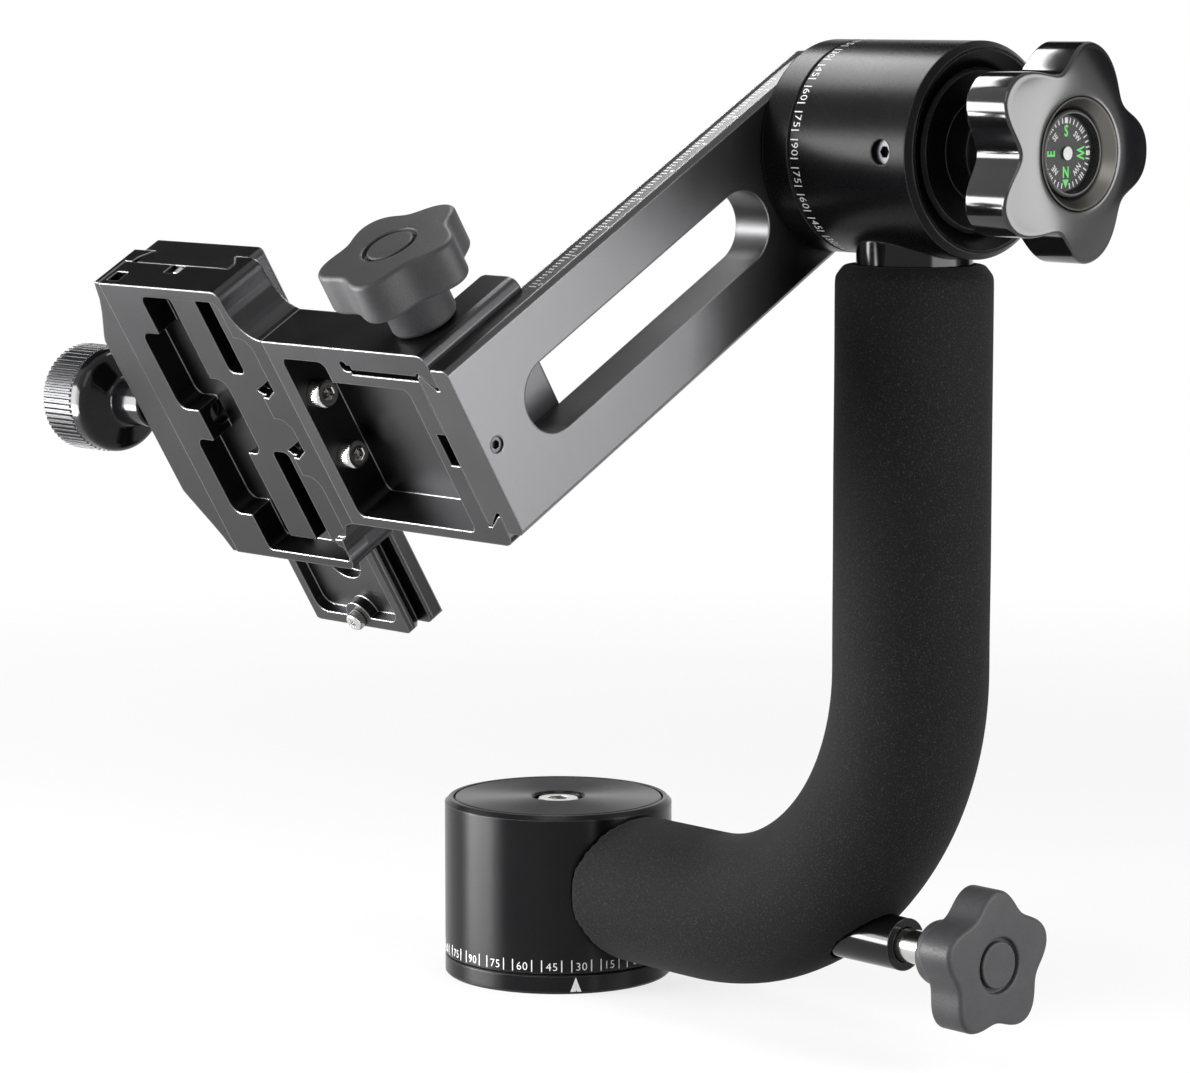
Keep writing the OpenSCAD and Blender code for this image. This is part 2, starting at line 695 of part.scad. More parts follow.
module compass_capsule() {
  color("#1d1e20") on_tilt_axis(capsule_back_x) difference() {
    turned(capsule_t, capsule_d / 2, 0.2, 0.4);
    translate([0, 0, 1]) cylinder(h = capsule_t, r = capsule_d / 2 - 0.8);
  }
  color("#1d1e20") rod_x(capsule_back_x + 0.9, capsule_back_x + 2.6, 0.5, 0, tilt_z);
}

module compass_lens() {
  color("#dfe6ea") on_tilt_axis(capsule_back_x + capsule_t - 1.1)
    turned(1.1, capsule_d / 2 - 0.8 - fit_gap, 0, 0.3);
}

module compass_card() {
  color("#202124") difference() {
    union() {
      on_tilt_axis(capsule_back_x + 2.5) cylinder(h = 0.6, r = capsule_d / 2 - 1.3);
      on_tilt_axis(capsule_back_x + 2.5) cylinder(h = 1.2, r = 1.5);
    }
    on_tilt_axis(capsule_back_x + 2) cylinder(h = 1, r = 0.5 + run_gap);
  }
}

// Swing arm and what turns with it

module tilt_ring() {
  color("#121214") difference() {
    union() {
      on_tilt_axis(arm_x) turned(tilt_ring_w, tilt_r, 0.4, 0.3);
      on_tilt_axis(ring_out_x - cut) cylinder(h = race_a_x - ring_out_x + cut, r = tilt_mid_r - 1.6);
    }
    on_tilt_axis(arm_x - cut) cylinder(h = tilt_ring_w + 6, r = shaft_r + fit_gap);
    on_tilt_axis(arm_x - cut) cylinder(h = 3 + cut, r = 13 + fit_gap);
    swung() for (y = [-1, 1], z = [-1, 1]) rod_x(arm_x - cut, arm_x + 7, 2 + fit_gap, y * 13, z * 13);
  }
}

module tilt_shaft() {
  color("#9da0a4") {
    on_tilt_axis(arm_x) cylinder(h = 3, r = 13);
    on_tilt_axis(arm_x + 2) cylinder(h = shaft_end_x - arm_x - 2, r = shaft_r);
    on_tilt_axis(race_a_x + tilt_bearing_w)
      cylinder(h = race_b_x - race_a_x - tilt_bearing_w, r = shaft_r + 1.6);
  }
}

module tilt_inner_races() {
  color("#c8cacc") for (x = [race_a_x, race_b_x])
    on_tilt_axis(x) inner_race(tilt_bore_d, tilt_od, tilt_bearing_w);
}

module tilt_bearing_balls() {
  color("#d6d8da") for (x = [race_a_x, race_b_x])
    on_tilt_axis(x) race_balls(tilt_bore_d, tilt_od, tilt_bearing_w, tilt_balls);
}

module tilt_shaft_nut() {
  x = race_b_x + tilt_bearing_w;
  color("#8a8d91") tube_x(x, shaft_end_x, tilt_mid_r - 1.4, shaft_r + fit_gap, 0, tilt_z);
}

// Half of the arm's section, from the centreline out, in X and Y
function arm_half_section() = [
  [arm_back_x, back_half - 0.8], [arm_back_x + 0.8, back_half],
  [groove_x - 1.1, groove_root], [groove_x, groove_root], [groove_x, arm_half],
  [arm_x - 1.2, arm_half], [arm_x, arm_half - 1.2]
];

module swing_arm() {
  color("#1d1d20") swung() difference() {
    intersection() {
      translate([0, 0, -arm_reach]) linear_extrude(height = arm_reach + arm_half) {
        polygon(both_halves(arm_half_section()));
      }
      union() {
        translate([arm_back_x - cut, -arm_half, -arm_reach]) cube([arm_t + 2 * cut, arm_w, arm_reach]);
        rod_x(arm_back_x - cut, arm_x + cut, arm_half);
      }
    }
    for (z = [-arm_reach + slot_foot + slot_w / 2, -slot_head - slot_w / 2])
      rod_x(arm_back_x - cut, arm_x + cut, slot_w / 2, 0, z);
    translate([arm_back_x - cut, -slot_w / 2, -arm_reach + slot_foot + slot_w / 2])
      cube([arm_t + 2 * cut, slot_w, arm_reach - slot_foot - slot_head - slot_w]);
    rod_x(arm_back_x - cut, arm_x + cut, 1.9 + fit_gap, 0, stop_up - arm_reach);
    for (y = [-1, 1], z = [-1, 1]) {
      rod_x(arm_back_x - cut, arm_x + cut, 2.1, y * 13, z * 13);
      translate([arm_back_x - 0.01, y * 13, z * 13]) rotate([0, 90, 0]) cylinder(h = 2.01, r1 = 4, r2 = 2);
    }
  }
}

module arm_screws() {
  color("#55585c") swung() for (y = [-1, 1], z = [-1, 1])
    translate([arm_back_x + 0.1, y * 13, z * 13]) rotate([0, -90, 0]) flat_screw(3.8, 2, arm_t + 6, 2.5);
}

module arm_stop_screw() {
  color("#3a3c3f") on_platform() difference() {
    rod_x(leg_x - 2.4, arm_x - 0.6, 1.9, 0, stop_up);
    translate([arm_x - 2, 0, stop_up]) rotate([0, 90, 0]) cylinder(h = 3, r = 1.1, $fn = 6);
  }
}

// L bracket

// Side of the bracket in X and Z: the flat part and the leg with its root fillet
module bracket_side() {
  polygon(concat(
    [[bracket_x, 0], [arm_x - 5, 0], [arm_x - 5, leg_h - 0.8], [arm_x - 5.8, leg_h]],
    [[leg_x - leg_t + 0.8, leg_h], [leg_x - leg_t, leg_h - 0.8]],
    arc(leg_x - leg_t - 7, bracket_h + 7, 7, 0, -90),
    [[bracket_x, bracket_h]]
  ));
}

// Outline of the bracket in X and Y: the back flange of the arm lies between the two
// jaws, whose noses stand in its V grooves
function bracket_half_outline() = [
  [bracket_x, bracket_half], [groove_x - 2.7, bracket_half], [groove_x - 1.6, bracket_half - 0.35],
  [groove_x - 0.8, bracket_half - 1.05], [groove_x - slide_gap, bracket_half - 2.4],
  [groove_x - slide_gap, groove_root + slide_gap + 0.7], [groove_x - 0.9, groove_root + slide_gap + 0.7],
  [arm_back_x + 0.8, back_half + slide_gap], [leg_x, back_half + slide_gap]
];

module platform_bracket() {
  in_x = bracket_x + wall_t;
  out_x = leg_x - leg_t;
  slit_y = -bracket_half + 6.5;
  color("#1b1b1e") on_platform() difference() {
    intersection() {
      linear_extrude(height = leg_h) polygon(both_halves(bracket_half_outline()));
      translate([0, bracket_half + cut, 0]) rotate([90, 0, 0])
        linear_extrude(height = bracket_w + 2 * cut) bracket_side();
    }
    // pocket, narrowed beside the flexing jaw
    translate([0, 0, -cut]) linear_extrude(height = bracket_h - bracket_floor + cut) {
      round_rect(in_x, -bracket_half + wall_t, in_x + 16, bracket_half - 2.8, 2.2);
      round_rect(in_x, slit_y + 3.6, out_x, bracket_half - 2.8, 2.2);
    }
    // slit under the upper jaw, with its round end
    translate([in_x + 25, slit_y - slit_w / 2, -cut]) cube([leg_x + 0.2 - in_x - 25, slit_w, leg_h + 2 * cut]);
    translate([in_x + 23.2, slit_y - 1.6, -cut]) cylinder(h = leg_h + 2 * cut, r = 1.3);
    translate([in_x + 23.2, slit_y - 1.9, -cut]) cube([2.6, 1.8, leg_h + 2 * cut]);
    // channel for the arm's stop screw
    translate([leg_x - 3.1, -4.4, -cut]) cube([3.1 + cut, 8.8, stop_up + 2.2 + cut]);
    for (y = [-1, 1])
      rod_x(bracket_x - cut, in_x + cut, 2.2, y * bracket_screw_pitch / 2, bracket_screw_z);
    translate([knob_x, -bracket_half - cut, knob_z]) rotate([-90, 0, 0]) {
      cylinder(h = 6, r = 3.3);
      cylinder(h = 17, r = 3 + run_gap);
    }
  }
}

module bracket_screws() {
  color("#c9cbce") on_platform() for (y = [-1, 1])
    translate([bracket_x + wall_t, y * bracket_screw_pitch / 2, bracket_screw_z]) rotate([0, 90, 0])
      cap_screw(3.5, 4, 2, 15, 3);
}

module platform_stud() {
  color("#b7b9bc") on_platform() translate([knob_x, -bracket_half - slide_gap - 12, knob_z])
    rotate([-90, 0, 0]) cylinder(h = 26, r = 3);
}

module platform_knob() {
  color("#2f3033") on_platform_lock() star_knob(3);
}

module platform_knob_cap() {
  color("#343538") on_platform_lock() star_cap();
}

// Plate clamp

// Side of the clamp body in X and Z: floor, dovetail wall and bracket seat
module clamp_side() {
  foot_x = plate_x + dovetail_half + slide_gap;
  polygon([
    [body_left_x, 0], [bracket_x, 0], [bracket_x, bracket_h], [plate_x + 25.6, jaw_top_z],
    [foot_x - lip_h, jaw_top_z], [foot_x - lip_h, lip_z + lip_h], [foot_x, lip_z],
    [foot_x, floor_t], [body_left_x, floor_t]
  ]);
}

// Outline of the clamp body in X and Y, waisted towards the bracket
module clamp_outline() {
  wide_x = plate_x + 25.2;
  half = clamp_l / 2;
  r = 9.3;
  upper = concat(
    [[body_left_x, clamp_shift + half]], arc(wide_x - 2.5, clamp_shift + half - 2.5, 2.5, 90, 0, 4),
    arc(wide_x + r, bracket_half + r, r, 180, 264, 8), [[bracket_x, bracket_half]]
  );
  lower = concat(
    [[bracket_x, -bracket_half]], arc(wide_x + r, -bracket_half - r, r, 96, 180, 8),
    arc(wide_x - 2.5, clamp_shift - half + 2.5, 2.5, 0, -90, 4), [[body_left_x, clamp_shift - half]]
  );
  polygon(concat(upper, lower));
}

// Pockets milled into the clamp's lower face, at the clamp's own centre
module clamp_pockets() {
  half = clamp_l / 2;
  deep = pocket_depth;
  left = body_left_x + 7.5;
  boss = body_left_x + 14.7;
  screw_y = bracket_screw_pitch / 2;
  // left trough, drawn back round the clamp screw and the guide pins
  translate([0, 0, -cut]) linear_extrude(height = deep + cut) {
    round_rect(left, -half + 14, plate_x + 1, -4, 3);
    round_rect(left, 5, plate_x + 1, half - 13, 3);
    round_rect(boss, -half + 3, plate_x + 3, half - 2.5, 2.5);
    round_rect(boss, -13.5, plate_x + 8.5, 8.5, 3);
    round_rect(boss, half - 7, plate_x + 25, half - 2.5, 1.5);
    round_rect(plate_x + 12.5, -half + 3, plate_x + 18.6, -16, 1.8);
    round_rect(plate_x + 13, 7, plate_x + 19.4, half - 3.5, 1.8);
  }
  // shallow recess over the right side, stepped round the two screw bosses
  translate([0, 0, -cut]) linear_extrude(height = 1.2 + cut) {
    round_rect(plate_x - 2, -half + 3, plate_x + 23, half - 2.5, 2.5);
    round_rect(plate_x + 10, -half + 13, plate_x + 28.5, -screw_y - 2.7, 4);
    round_rect(plate_x + 10, 4.6 - screw_y, plate_x + 28.5, screw_y - 2.8, 4);
    round_rect(plate_x + 10, screw_y + 3.7, plate_x + 28.5, half - 9, 4);
  }
  // corner wells beside the screw bosses
  for (y = [-screw_y, screw_y]) translate([plate_x + 20, y - 2.7, -cut]) linear_extrude(height = 3.4 + cut)
    polygon([[0, 0], [8.4, -4.2], [8.6, -1.2], [5, 1.2], [1.5, 1]]);
}

module clamp_body() {
  half = clamp_l / 2;
  notch_l = plate_stop_in + plate_stop_d / 2 + 0.2 + slide_gap;
  color("#1c1c1f") on_platform() difference() {
    intersection() {
      linear_extrude(height = jaw_top_z) clamp_outline();
      translate([0, clamp_shift + half + cut, 0]) rotate([90, 0, 0])
        linear_extrude(height = clamp_l + 2 * cut) clamp_side();
    }
    translate([0, clamp_shift, 0]) {
      clamp_pockets();
      // notches that the plate's stop screws drop into
      for (s = [-1, 1]) {
        y = s * (half - notch_l + plate_stop_d / 2 + slide_gap);
        translate([plate_x - plate_stop_d / 2 - slide_gap, s > 0 ? y : -half - cut, floor_t - 3.2])
          cube([plate_stop_d + 2 * slide_gap, half + cut - abs(y), 3.2 + cut]);
        translate([plate_x, y, floor_t - 3.2]) cylinder(h = 4, r = plate_stop_d / 2 + slide_gap);
      }
      // end recess under the jaw, screw thread and guide pin holes
      translate([body_left_x + 1.6, -half - cut, 1.6]) cube([4.6, 3.4 + cut, 3.8]);
      rod_x(body_left_x - cut, body_left_x + clamp_stud_in + 2, clamp_stud_r + run_gap, 0, clamp_axis_z);
      for (s = [-1, 1])
        rod_x(body_left_x - cut, body_left_x + guide_pin_in, guide_pin_d / 2 + fit_gap,
          s * guide_pitch / 2, clamp_axis_z);
    }
    for (y = [-1, 1])
      rod_x(bracket_x - 11.5, bracket_x + cut, 2 + fit_gap, y * bracket_screw_pitch / 2, bracket_screw_z);
  }
}

module jaw_guide_pins() {
  color("#c2c4c7") on_platform() translate([0, clamp_shift, 0]) for (s = [-1, 1])
    rod_x(jaw_right_x - 3, body_left_x + guide_pin_in, guide_pin_d / 2, s * guide_pitch / 2, clamp_axis_z);
}

// Outline of the moving jaw in X and Y
module jaw_outline() {
  half = clamp_l / 2;
  mid = jaw_mid_l / 2;
  over_x = plate_x - dovetail_neck;
  polygon([
    [over_x, -half], [jaw_right_x - 1.6, -half], [jaw_right_x - 3, -half + 5], [jaw_right_x - 5, -half + 9],
    [jaw_left_x + 1.4, -mid - 3], [jaw_left_x, -mid], [jaw_left_x, mid], [jaw_left_x + 1.4, mid + 3],
    [jaw_right_x - 5, half - 8], [jaw_right_x - 3, half - 4], [jaw_right_x - 1.6, half], [over_x, half]
  ]);
}

module clamp_jaw() {
  foot_x = plate_x - dovetail_half - slide_gap;
  low = floor_t + slide_gap;
  color("#1c1c1f") on_platform() translate([0, clamp_shift, 0]) difference() {
    intersection() {
      linear_extrude(height = jaw_top_z) jaw_outline();
      translate([0, clamp_l / 2 + cut, 0]) rotate([90, 0, 0]) linear_extrude(height = clamp_l + 2 * cut)
        polygon([
          [jaw_left_x, 1], [jaw_left_x + 0.8, 0.3], [jaw_right_x, 0.3], [jaw_right_x, low], [foot_x, low],
          [foot_x, lip_z], [foot_x + lip_h, lip_z + lip_h], [foot_x + lip_h, jaw_top_z],
          [jaw_left_x + 1.4, jaw_top_z], [jaw_left_x, jaw_top_z - 1.6]
        ]);
    }
    rod_x(jaw_left_x - cut, jaw_right_x + cut, clamp_stud_r + 0.3, 0, clamp_axis_z);
    for (s = [-1, 1])
      rod_x(jaw_right_x - 3.4, jaw_right_x + cut, guide_pin_d / 2 + run_gap, s * guide_pitch / 2, clamp_axis_z);
  }
}

// Places a turned piece drawn along Z on the clamp screw, outwards from the jaw
module on_clamp_screw(out) {
  on_platform() translate([jaw_left_x - slide_gap - out, clamp_shift, clamp_axis_z])
    rotate([0, -90, 0]) children();
}

module clamp_stud() {
  inner = jaw_left_x - body_left_x + slide_gap - clamp_stud_in;
  color("#b7b9bc") on_clamp_screw(0) translate([0, 0, inner])
    cylinder(h = hub_l - 6 - inner, r = clamp_stud_r);
}

module clamp_knob_hub() {
  r = grip_d / 2;
  neck_r = hub_neck_d / 2;
  fillet = 1.6;
  neck_l = hub_l - hub_head_l;
  color("#101012") on_clamp_screw(0) rotate_extrude($fn = 96) polygon(concat(
    [[clamp_stud_r + fit_gap, 0], [neck_r - 0.4, 0], [neck_r, 0.4]],
    arc(neck_r + fillet, neck_l, fillet, 180, 110),
    arc(r - 0.2 - hub_edge_r, hub_l - 2, hub_edge_r, -70, 0),
    [[r - 0.2, hub_l], [r - 3, hub_l], [r - 3, hub_l + grip_w - 1.4]],
    [[r - 4, hub_l + grip_w - 0.6], [clamp_stud_r + fit_gap, hub_l + grip_w - 0.6]]
  ));
}

module clamp_knob_grip() {
  r = grip_d / 2;
  color("#8b8d90") on_clamp_screw(hub_l) difference() {
    intersection() {
      linear_extrude(height = grip_w) polygon([for (i = [0:grip_ridges - 1], k = [0:3])
        let (a = (i + [0.06, 0.44, 0.56, 0.94][k]) * 360 / grip_ridges, q = [0, 0, 0.75, 0.75][k])
          [(r - q) * cos(a), (r - q) * sin(a)]]);
      turned(grip_w, r, 0.5, 0.9);
    }
    translate([0, 0, -cut]) cylinder(h = grip_w + 2 * cut, r = r - 3 + fit_gap);
  }
}

// Lens plate

// Right half of the plate's section, in height and half width
function plate_half_section() = let (b = flange_w / 2) [
  [0, dovetail_half - 0.8], [0.8, dovetail_half], [dovetail_foot, dovetail_half],
  [dovetail_foot + 3.3, dovetail_neck], [flange_z, dovetail_neck], [flange_z, b - 0.6], [flange_z + 0.6, b],
  [plate_t - 0.8, b], [plate_t, b - 0.8]
];

module lens_plate() {
  stop_y = plate_l - plate_stop_in;
  color("#1a1a1c") on_platform() translate([plate_x, plate_start, plate_z]) difference() {
    intersection() {
      translate([0, plate_l, 0]) rotate([90, 0, 0]) linear_extrude(height = plate_l)
        rotate(90) polygon(both_halves(plate_half_section()));
      union() {
        linear_extrude(height = flange_z)
          round_rect(-dovetail_half - 0.2, 0, dovetail_half + 0.2, plate_l, 2.4);
        translate([0, 0, flange_z - cut]) linear_extrude(height = plate_t)
          round_rect(-flange_w / 2 - 0.2, 0, flange_w / 2 + 0.2, plate_l, 2.4);
      }
    }
    // pocket milled from below, drawn in round both stop screws
    difference() {
      translate([0, 0, -cut]) linear_extrude(height = 3 + cut)
        round_rect(-dovetail_half + 3.4, 3, dovetail_half - 3.4, plate_l - 3, 3.5);
      for (y = [plate_stop_in, stop_y]) translate([0, y, -cut]) cylinder(h = 5, r = plate_stop_d / 2 + 2);
    }
    // long counterbored slot for the camera screw
    translate([0, 0, -cut]) linear_extrude(height = 6 + cut) round_rect(-7, 22, 7, plate_l - 13, 6.9);
    translate([0, 0, -cut]) linear_extrude(height = plate_t + 2 * cut)
      round_rect(-3.4, 26, 3.4, plate_l - 17, 3.3);
    // shallow seats for the grip pads
    translate([0, 0, plate_t - 0.8]) linear_extrude(height = 2) for (s = [-1, 1])
      round_rect(s * 12.5 - 6, 8, s * 12.5 + 6, plate_l - 8, 2);
    for (y = [plate_stop_in, stop_y]) translate([0, y, -cut]) cylinder(h = plate_t - 1, r = 1.5 + fit_gap);
  }
}

module plate_stop_screws() {
  color("#c9cbce") on_platform() for (y = [plate_stop_in, plate_l - plate_stop_in])
    translate([plate_x, plate_start + y, plate_z]) rotate([180, 0, 0])
      cap_screw(plate_stop_d / 2, 2.7, 1.5, plate_t - 2.6, 2);
}

module plate_grip_pads() {
  color("#2a2a2c") on_platform() translate([plate_x, plate_start, plate_z + plate_t - 0.8])
    linear_extrude(height = 1.1) for (s = [-1, 1])
      round_rect(s * 12.5 - 5.9, 8.1, s * 12.5 + 5.9, plate_l - 8.1, 1.9);
}

module camera_screw() {
  y = plate_start + plate_l / 2 + 4;
  color("#b7b9bc") on_platform() translate([plate_x, y, plate_z + 6 - slide_gap]) difference() {
    union() {
      translate([0, 0, -2.6]) turned(2.6, 6.4, 0.4, 0.2);
      cylinder(h = plate_t - 6 + 2 * slide_gap + cut, r = camera_screw_d / 2 - 0.5);
      translate([0, 0, plate_t - 6 + 2 * slide_gap]) cylinder(h = 5.2, r = camera_screw_d / 2);
    }
    translate([-7, -0.7, -3.2]) cube([14, 1.4, 1.8]);
  }
}

base_ring();
thread_bush();
spindle_flange();
pan_spindle();
base_screws();
pan_inner_races();
pan_bearing_balls();
axle_washer();
axle_screw();
pan_housing();
pan_outer_races();
pan_cap();
arm_core();
foam_sleeve();
pan_brake_pad();
pan_push_rod();
pan_lock_stud();
pan_lock_knob();
pan_knob_cap();
tilt_housing();
arm_head_bolt();
drum_set_screw();
tilt_outer_races();
tilt_end_cap();
tilt_brake_pad();
tilt_lock_stud();
tilt_lock_knob();
compass_bezel();
compass_capsule();
compass_lens();
compass_card();
tilt_ring();
tilt_shaft();
tilt_inner_races();
tilt_bearing_balls();
tilt_shaft_nut();
swing_arm();
arm_screws();
arm_stop_screw();
platform_bracket();
bracket_screws();
platform_stud();
platform_knob();
platform_knob_cap();
clamp_body();
jaw_guide_pins();
clamp_jaw();
clamp_stud();
clamp_knob_hub();
clamp_knob_grip();
lens_plate();
plate_stop_screws();
plate_grip_pads();
camera_screw();
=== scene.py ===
import json
import math

import bpy
from mathutils import Matrix, Vector, noise


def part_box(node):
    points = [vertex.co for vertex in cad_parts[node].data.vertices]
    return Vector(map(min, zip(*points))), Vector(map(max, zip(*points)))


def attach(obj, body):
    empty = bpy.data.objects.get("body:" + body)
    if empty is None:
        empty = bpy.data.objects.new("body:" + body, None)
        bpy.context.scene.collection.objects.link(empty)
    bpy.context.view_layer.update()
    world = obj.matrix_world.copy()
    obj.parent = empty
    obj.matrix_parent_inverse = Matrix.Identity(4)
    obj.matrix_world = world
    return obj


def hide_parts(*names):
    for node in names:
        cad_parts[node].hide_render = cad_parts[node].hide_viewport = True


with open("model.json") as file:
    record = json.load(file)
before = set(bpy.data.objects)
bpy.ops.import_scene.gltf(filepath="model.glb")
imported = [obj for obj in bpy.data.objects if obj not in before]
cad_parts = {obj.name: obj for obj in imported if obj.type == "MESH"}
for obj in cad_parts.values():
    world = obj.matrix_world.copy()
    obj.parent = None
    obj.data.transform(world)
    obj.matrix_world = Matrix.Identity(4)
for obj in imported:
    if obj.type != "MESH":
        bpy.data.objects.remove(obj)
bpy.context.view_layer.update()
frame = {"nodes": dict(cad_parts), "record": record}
nodes = frame["nodes"]
mm = 0.001
scene = bpy.context.scene
print("frame loaded")

# the swing arm as it is stored: its tilt, its own directions and its lower end
restTilt = math.radians(59)
tiltHeight = 220.7
armReach = 130.9
alongPlate = Vector((0, math.cos(restTilt), -math.sin(restTilt)))
alongArm = Vector((0, math.sin(restTilt), math.cos(restTilt)))
armFoot = Vector((0, 0, tiltHeight)) - alongArm * armReach


def turned(degrees, axis):
    return Matrix.Rotation(math.radians(degrees), 4, axis)


def moved(x, y, z):  # in millimetres
    return Matrix.Translation(Vector((x, y, z)) * mm)


armFrame = moved(*armFoot) @ Matrix.Rotation(-restTilt, 4, "X")
finishes = {}  # every Paint by its name


class Wire:
    # a node socket that adds, subtracts and multiplies like a number
    def __init__(self, owner, socket):
        self.owner, self.socket = owner, socket

    def maths(self, operation, a, b):
        return self.owner.node("ShaderNodeMath", {"operation": operation}, {0: a, 1: b})

    def __add__(self, other):
        return self.maths("ADD", self, other)

    def __radd__(self, other):
        return self.maths("ADD", other, self)

    def __sub__(self, other):
        return self.maths("SUBTRACT", self, other)

    def __rsub__(self, other):
        return self.maths("SUBTRACT", other, self)

    def __mul__(self, other):
        return self.maths("MULTIPLY", self, other)

    def __rmul__(self, other):
        return self.maths("MULTIPLY", other, self)

    def orMore(self, other):
        return self.maths("MAXIMUM", self, other)

    def between(self, low, high):
        # 0 below low, 1 above high, smooth in between
        return self.owner.node("ShaderNodeMapRange", {"interpolation_type": "SMOOTHSTEP"},
                               {"Value": self, "From Min": low, "From Max": high})


class Wiring:
    # makes and links the nodes of one material or world
    def __init__(self, tree):
        self.tree = tree

    def node(self, kind, settings=None, sockets=None, out=0):
        made = self.tree.nodes.new(kind)
        for key, value in (settings or {}).items():
            setattr(made, key, value)
        for key, value in (sockets or {}).items():
            self.feed(made.inputs[key], value)
        return Wire(self, made.outputs[out]) if made.outputs else None

    def feed(self, socket, value):
        if isinstance(value, Wire):
            self.tree.links.new(value.socket, socket)
        elif socket.type == "RGBA":
            socket.default_value = (*value, 1)
        else:
            socket.default_value = value


class Paint(Wiring):
    # one procedural material round a Principled shader; widths and depths are in millimetres
    def __init__(self, name, fixed):
        self.material = bpy.data.materials.new(name)
        self.material.use_nodes = True
        super().__init__(self.material.node_tree)
        self.shader = self.tree.nodes["Principled BSDF"]
        for label, value in fixed.items():
            self.set(label, value)
        self.coords = self.node("ShaderNodeTexCoord", out="Object")
        finishes[name] = self

    def set(self, label, value):
        self.feed(self.shader.inputs[label], value)

    def noise(self, size, detail=2, coords=None, rough=0.5):
        # size is the width of one blotch
        sockets = {"Vector": coords or self.coords, "Scale": 1 / mm / size, "Detail": detail}
        return self.node("ShaderNodeTexNoise", {}, {**sockets, "Roughness": rough})

    def stretched(self, x, y, z):
        return self.node("ShaderNodeVectorMath", {"operation": "MULTIPLY"}, {0: self.coords, 1: (x, y, z)})

    def mix(self, factor, low, high):
        # a Mix node keeps its colour sockets at 6 and 7, and its colour result at 2
        return self.node("ShaderNodeMix", {"data_type": "RGBA"}, {0: factor, 6: low, 7: high}, out=2)

    def soft(self, radius):
        # rounds the shading of sharp edges
        return self.node("ShaderNodeBevel", {"samples": 6}, {"Radius": radius * mm})

    def rim(self, width):
        # 1 on a machined edge, where the softened normal leaves the real one, and 0 on a flat
        normals = {0: self.soft(width), 1: self.node("ShaderNodeNewGeometry", out="Normal")}
        alike = self.node("ShaderNodeVectorMath", {"operation": "DOT_PRODUCT"}, normals, "Value")
        return (1.0 - alike).between(0.01, 0.12)

    def worn(self, base, look):
        # painted highlight: paler along its edges, where rounded edges would catch the light
        return self.mix(self.rim(look["rimWidth"]) * look["edge"], base, look["edgeHighlightTone"])

    def front(self, low, high):
        # 1 where a face looks along the piece's own X
        normal = self.node("ShaderNodeTexCoord", out="Normal")
        return self.node("ShaderNodeSeparateXYZ", {}, {0: normal}).between(low, high)

    def bump(self, height, look, normal=None):
        sockets = {"Height": height, "Strength": look["bump"], "Distance": look["depth"] * mm}
        if normal:
            sockets["Normal"] = normal
        return self.node("ShaderNodeBump", {}, sockets)

    def grained(self, grain, look):
        # roughness and relief that follow the grain
        self.set("Roughness", look["rough"] + (grain - 0.5) * look["grainRough"])
        self.set("Normal", self.bump(grain, look, self.soft(look["soft"])))


def shade(tone, share):
    return tuple(channel * share for channel in tone)


# satin black turned or milled aluminium: sheen is the refractive index, and stretch draws the
# highlight out along the turning lines
anodisedLook = {"metal": 1.0, "sheen": 1.5, "stretch": 0.0, "stretchTurn": 0.25, "grain": 0.25, "cloud": 14,
                "rimWidth": 0.35, "rough": 0.34, "cloudRough": 0.08, "grainRough": 0.10, "depth": 0.03}
drumLook = {**anodisedLook, "metal": 0.0, "sheen": 1.24, "stretch": 0.9, "dark": (0.002, 0.002, 0.0025),
            "light": (0.004, 0.004, 0.0045), "edge": 0.6, "edgeHighlightTone": (0.12, 0.12, 0.125), "rough": 0.31,
            "bump": 0.3, "turned": 0.9, "lines": (0.02, 0.02, 4), "soft": 0.7}
tiltLook = {**drumLook, "sheen": 1.18, "stretch": 0.0, "rough": 0.28, "bump": 0.6, "turned": 0.5,
            "lines": (5, 0.02, 0.02)}
armLook = {**anodisedLook, "dark": (0.046, 0.046, 0.048), "light": (0.058, 0.058, 0.060), "edge": 0.8,
           "edgeHighlightTone": (0.26, 0.26, 0.26), "rimWidth": 0.6, "bump": 0.45, "turned": 0.0, "lines": (1, 1, 1),
           "soft": 0.65}
# the arm's anodising again: darker on the clamp as painted shade, and lighter on the swing arm as painted
# light
clampShadedLook = {**armLook, "dark": (0.030, 0.030, 0.0315), "light": (0.038, 0.038, 0.0395)}
swingLitLook = {**armLook, "dark": (0.062, 0.062, 0.064), "light": (0.078, 0.078, 0.080)}
bezelLook = {**anodisedLook, "front": (0.85, 0.97), "frontTone": (0.030, 0.028, 0.024),
             "dark": (0.120, 0.114, 0.104), "light": (0.165, 0.158, 0.145), "edge": 0.1, "soft": 0.2,
             "edgeHighlightTone": (0.20, 0.19, 0.17), "bump": 0.2, "turned": 0.8, "lines": (5, 0.02, 0.02)}


def anodised(name, look):
    # fine tool lines, a soft sheen, and paler edges that are a painted highlight
    paint = Paint(name, {"Metallic": look["metal"], "IOR": look["sheen"], "Anisotropic": look["stretch"],
                         "Anisotropic Rotation": look["stretchTurn"]})
    grain = paint.noise(look["grain"])
    lines = paint.noise(1.0, coords=paint.stretched(*look["lines"]))
    cloud = paint.noise(look["cloud"], 3)
    base = paint.mix(cloud, look["dark"], look["light"])
    if "frontTone" in look:
        base = paint.mix(paint.front(*look["front"]), base, look["frontTone"])
    paint.set("Base Color", paint.worn(base, look))
    rough = look["rough"] + (cloud - 0.5) * look["cloudRough"]
    paint.set("Roughness", rough + (grain - 0.5) * look["grainRough"])
    relief = lines * look["turned"] + grain * (1.0 - look["turned"])
    paint.set("Normal", paint.bump(relief, look, paint.soft(look["soft"])))


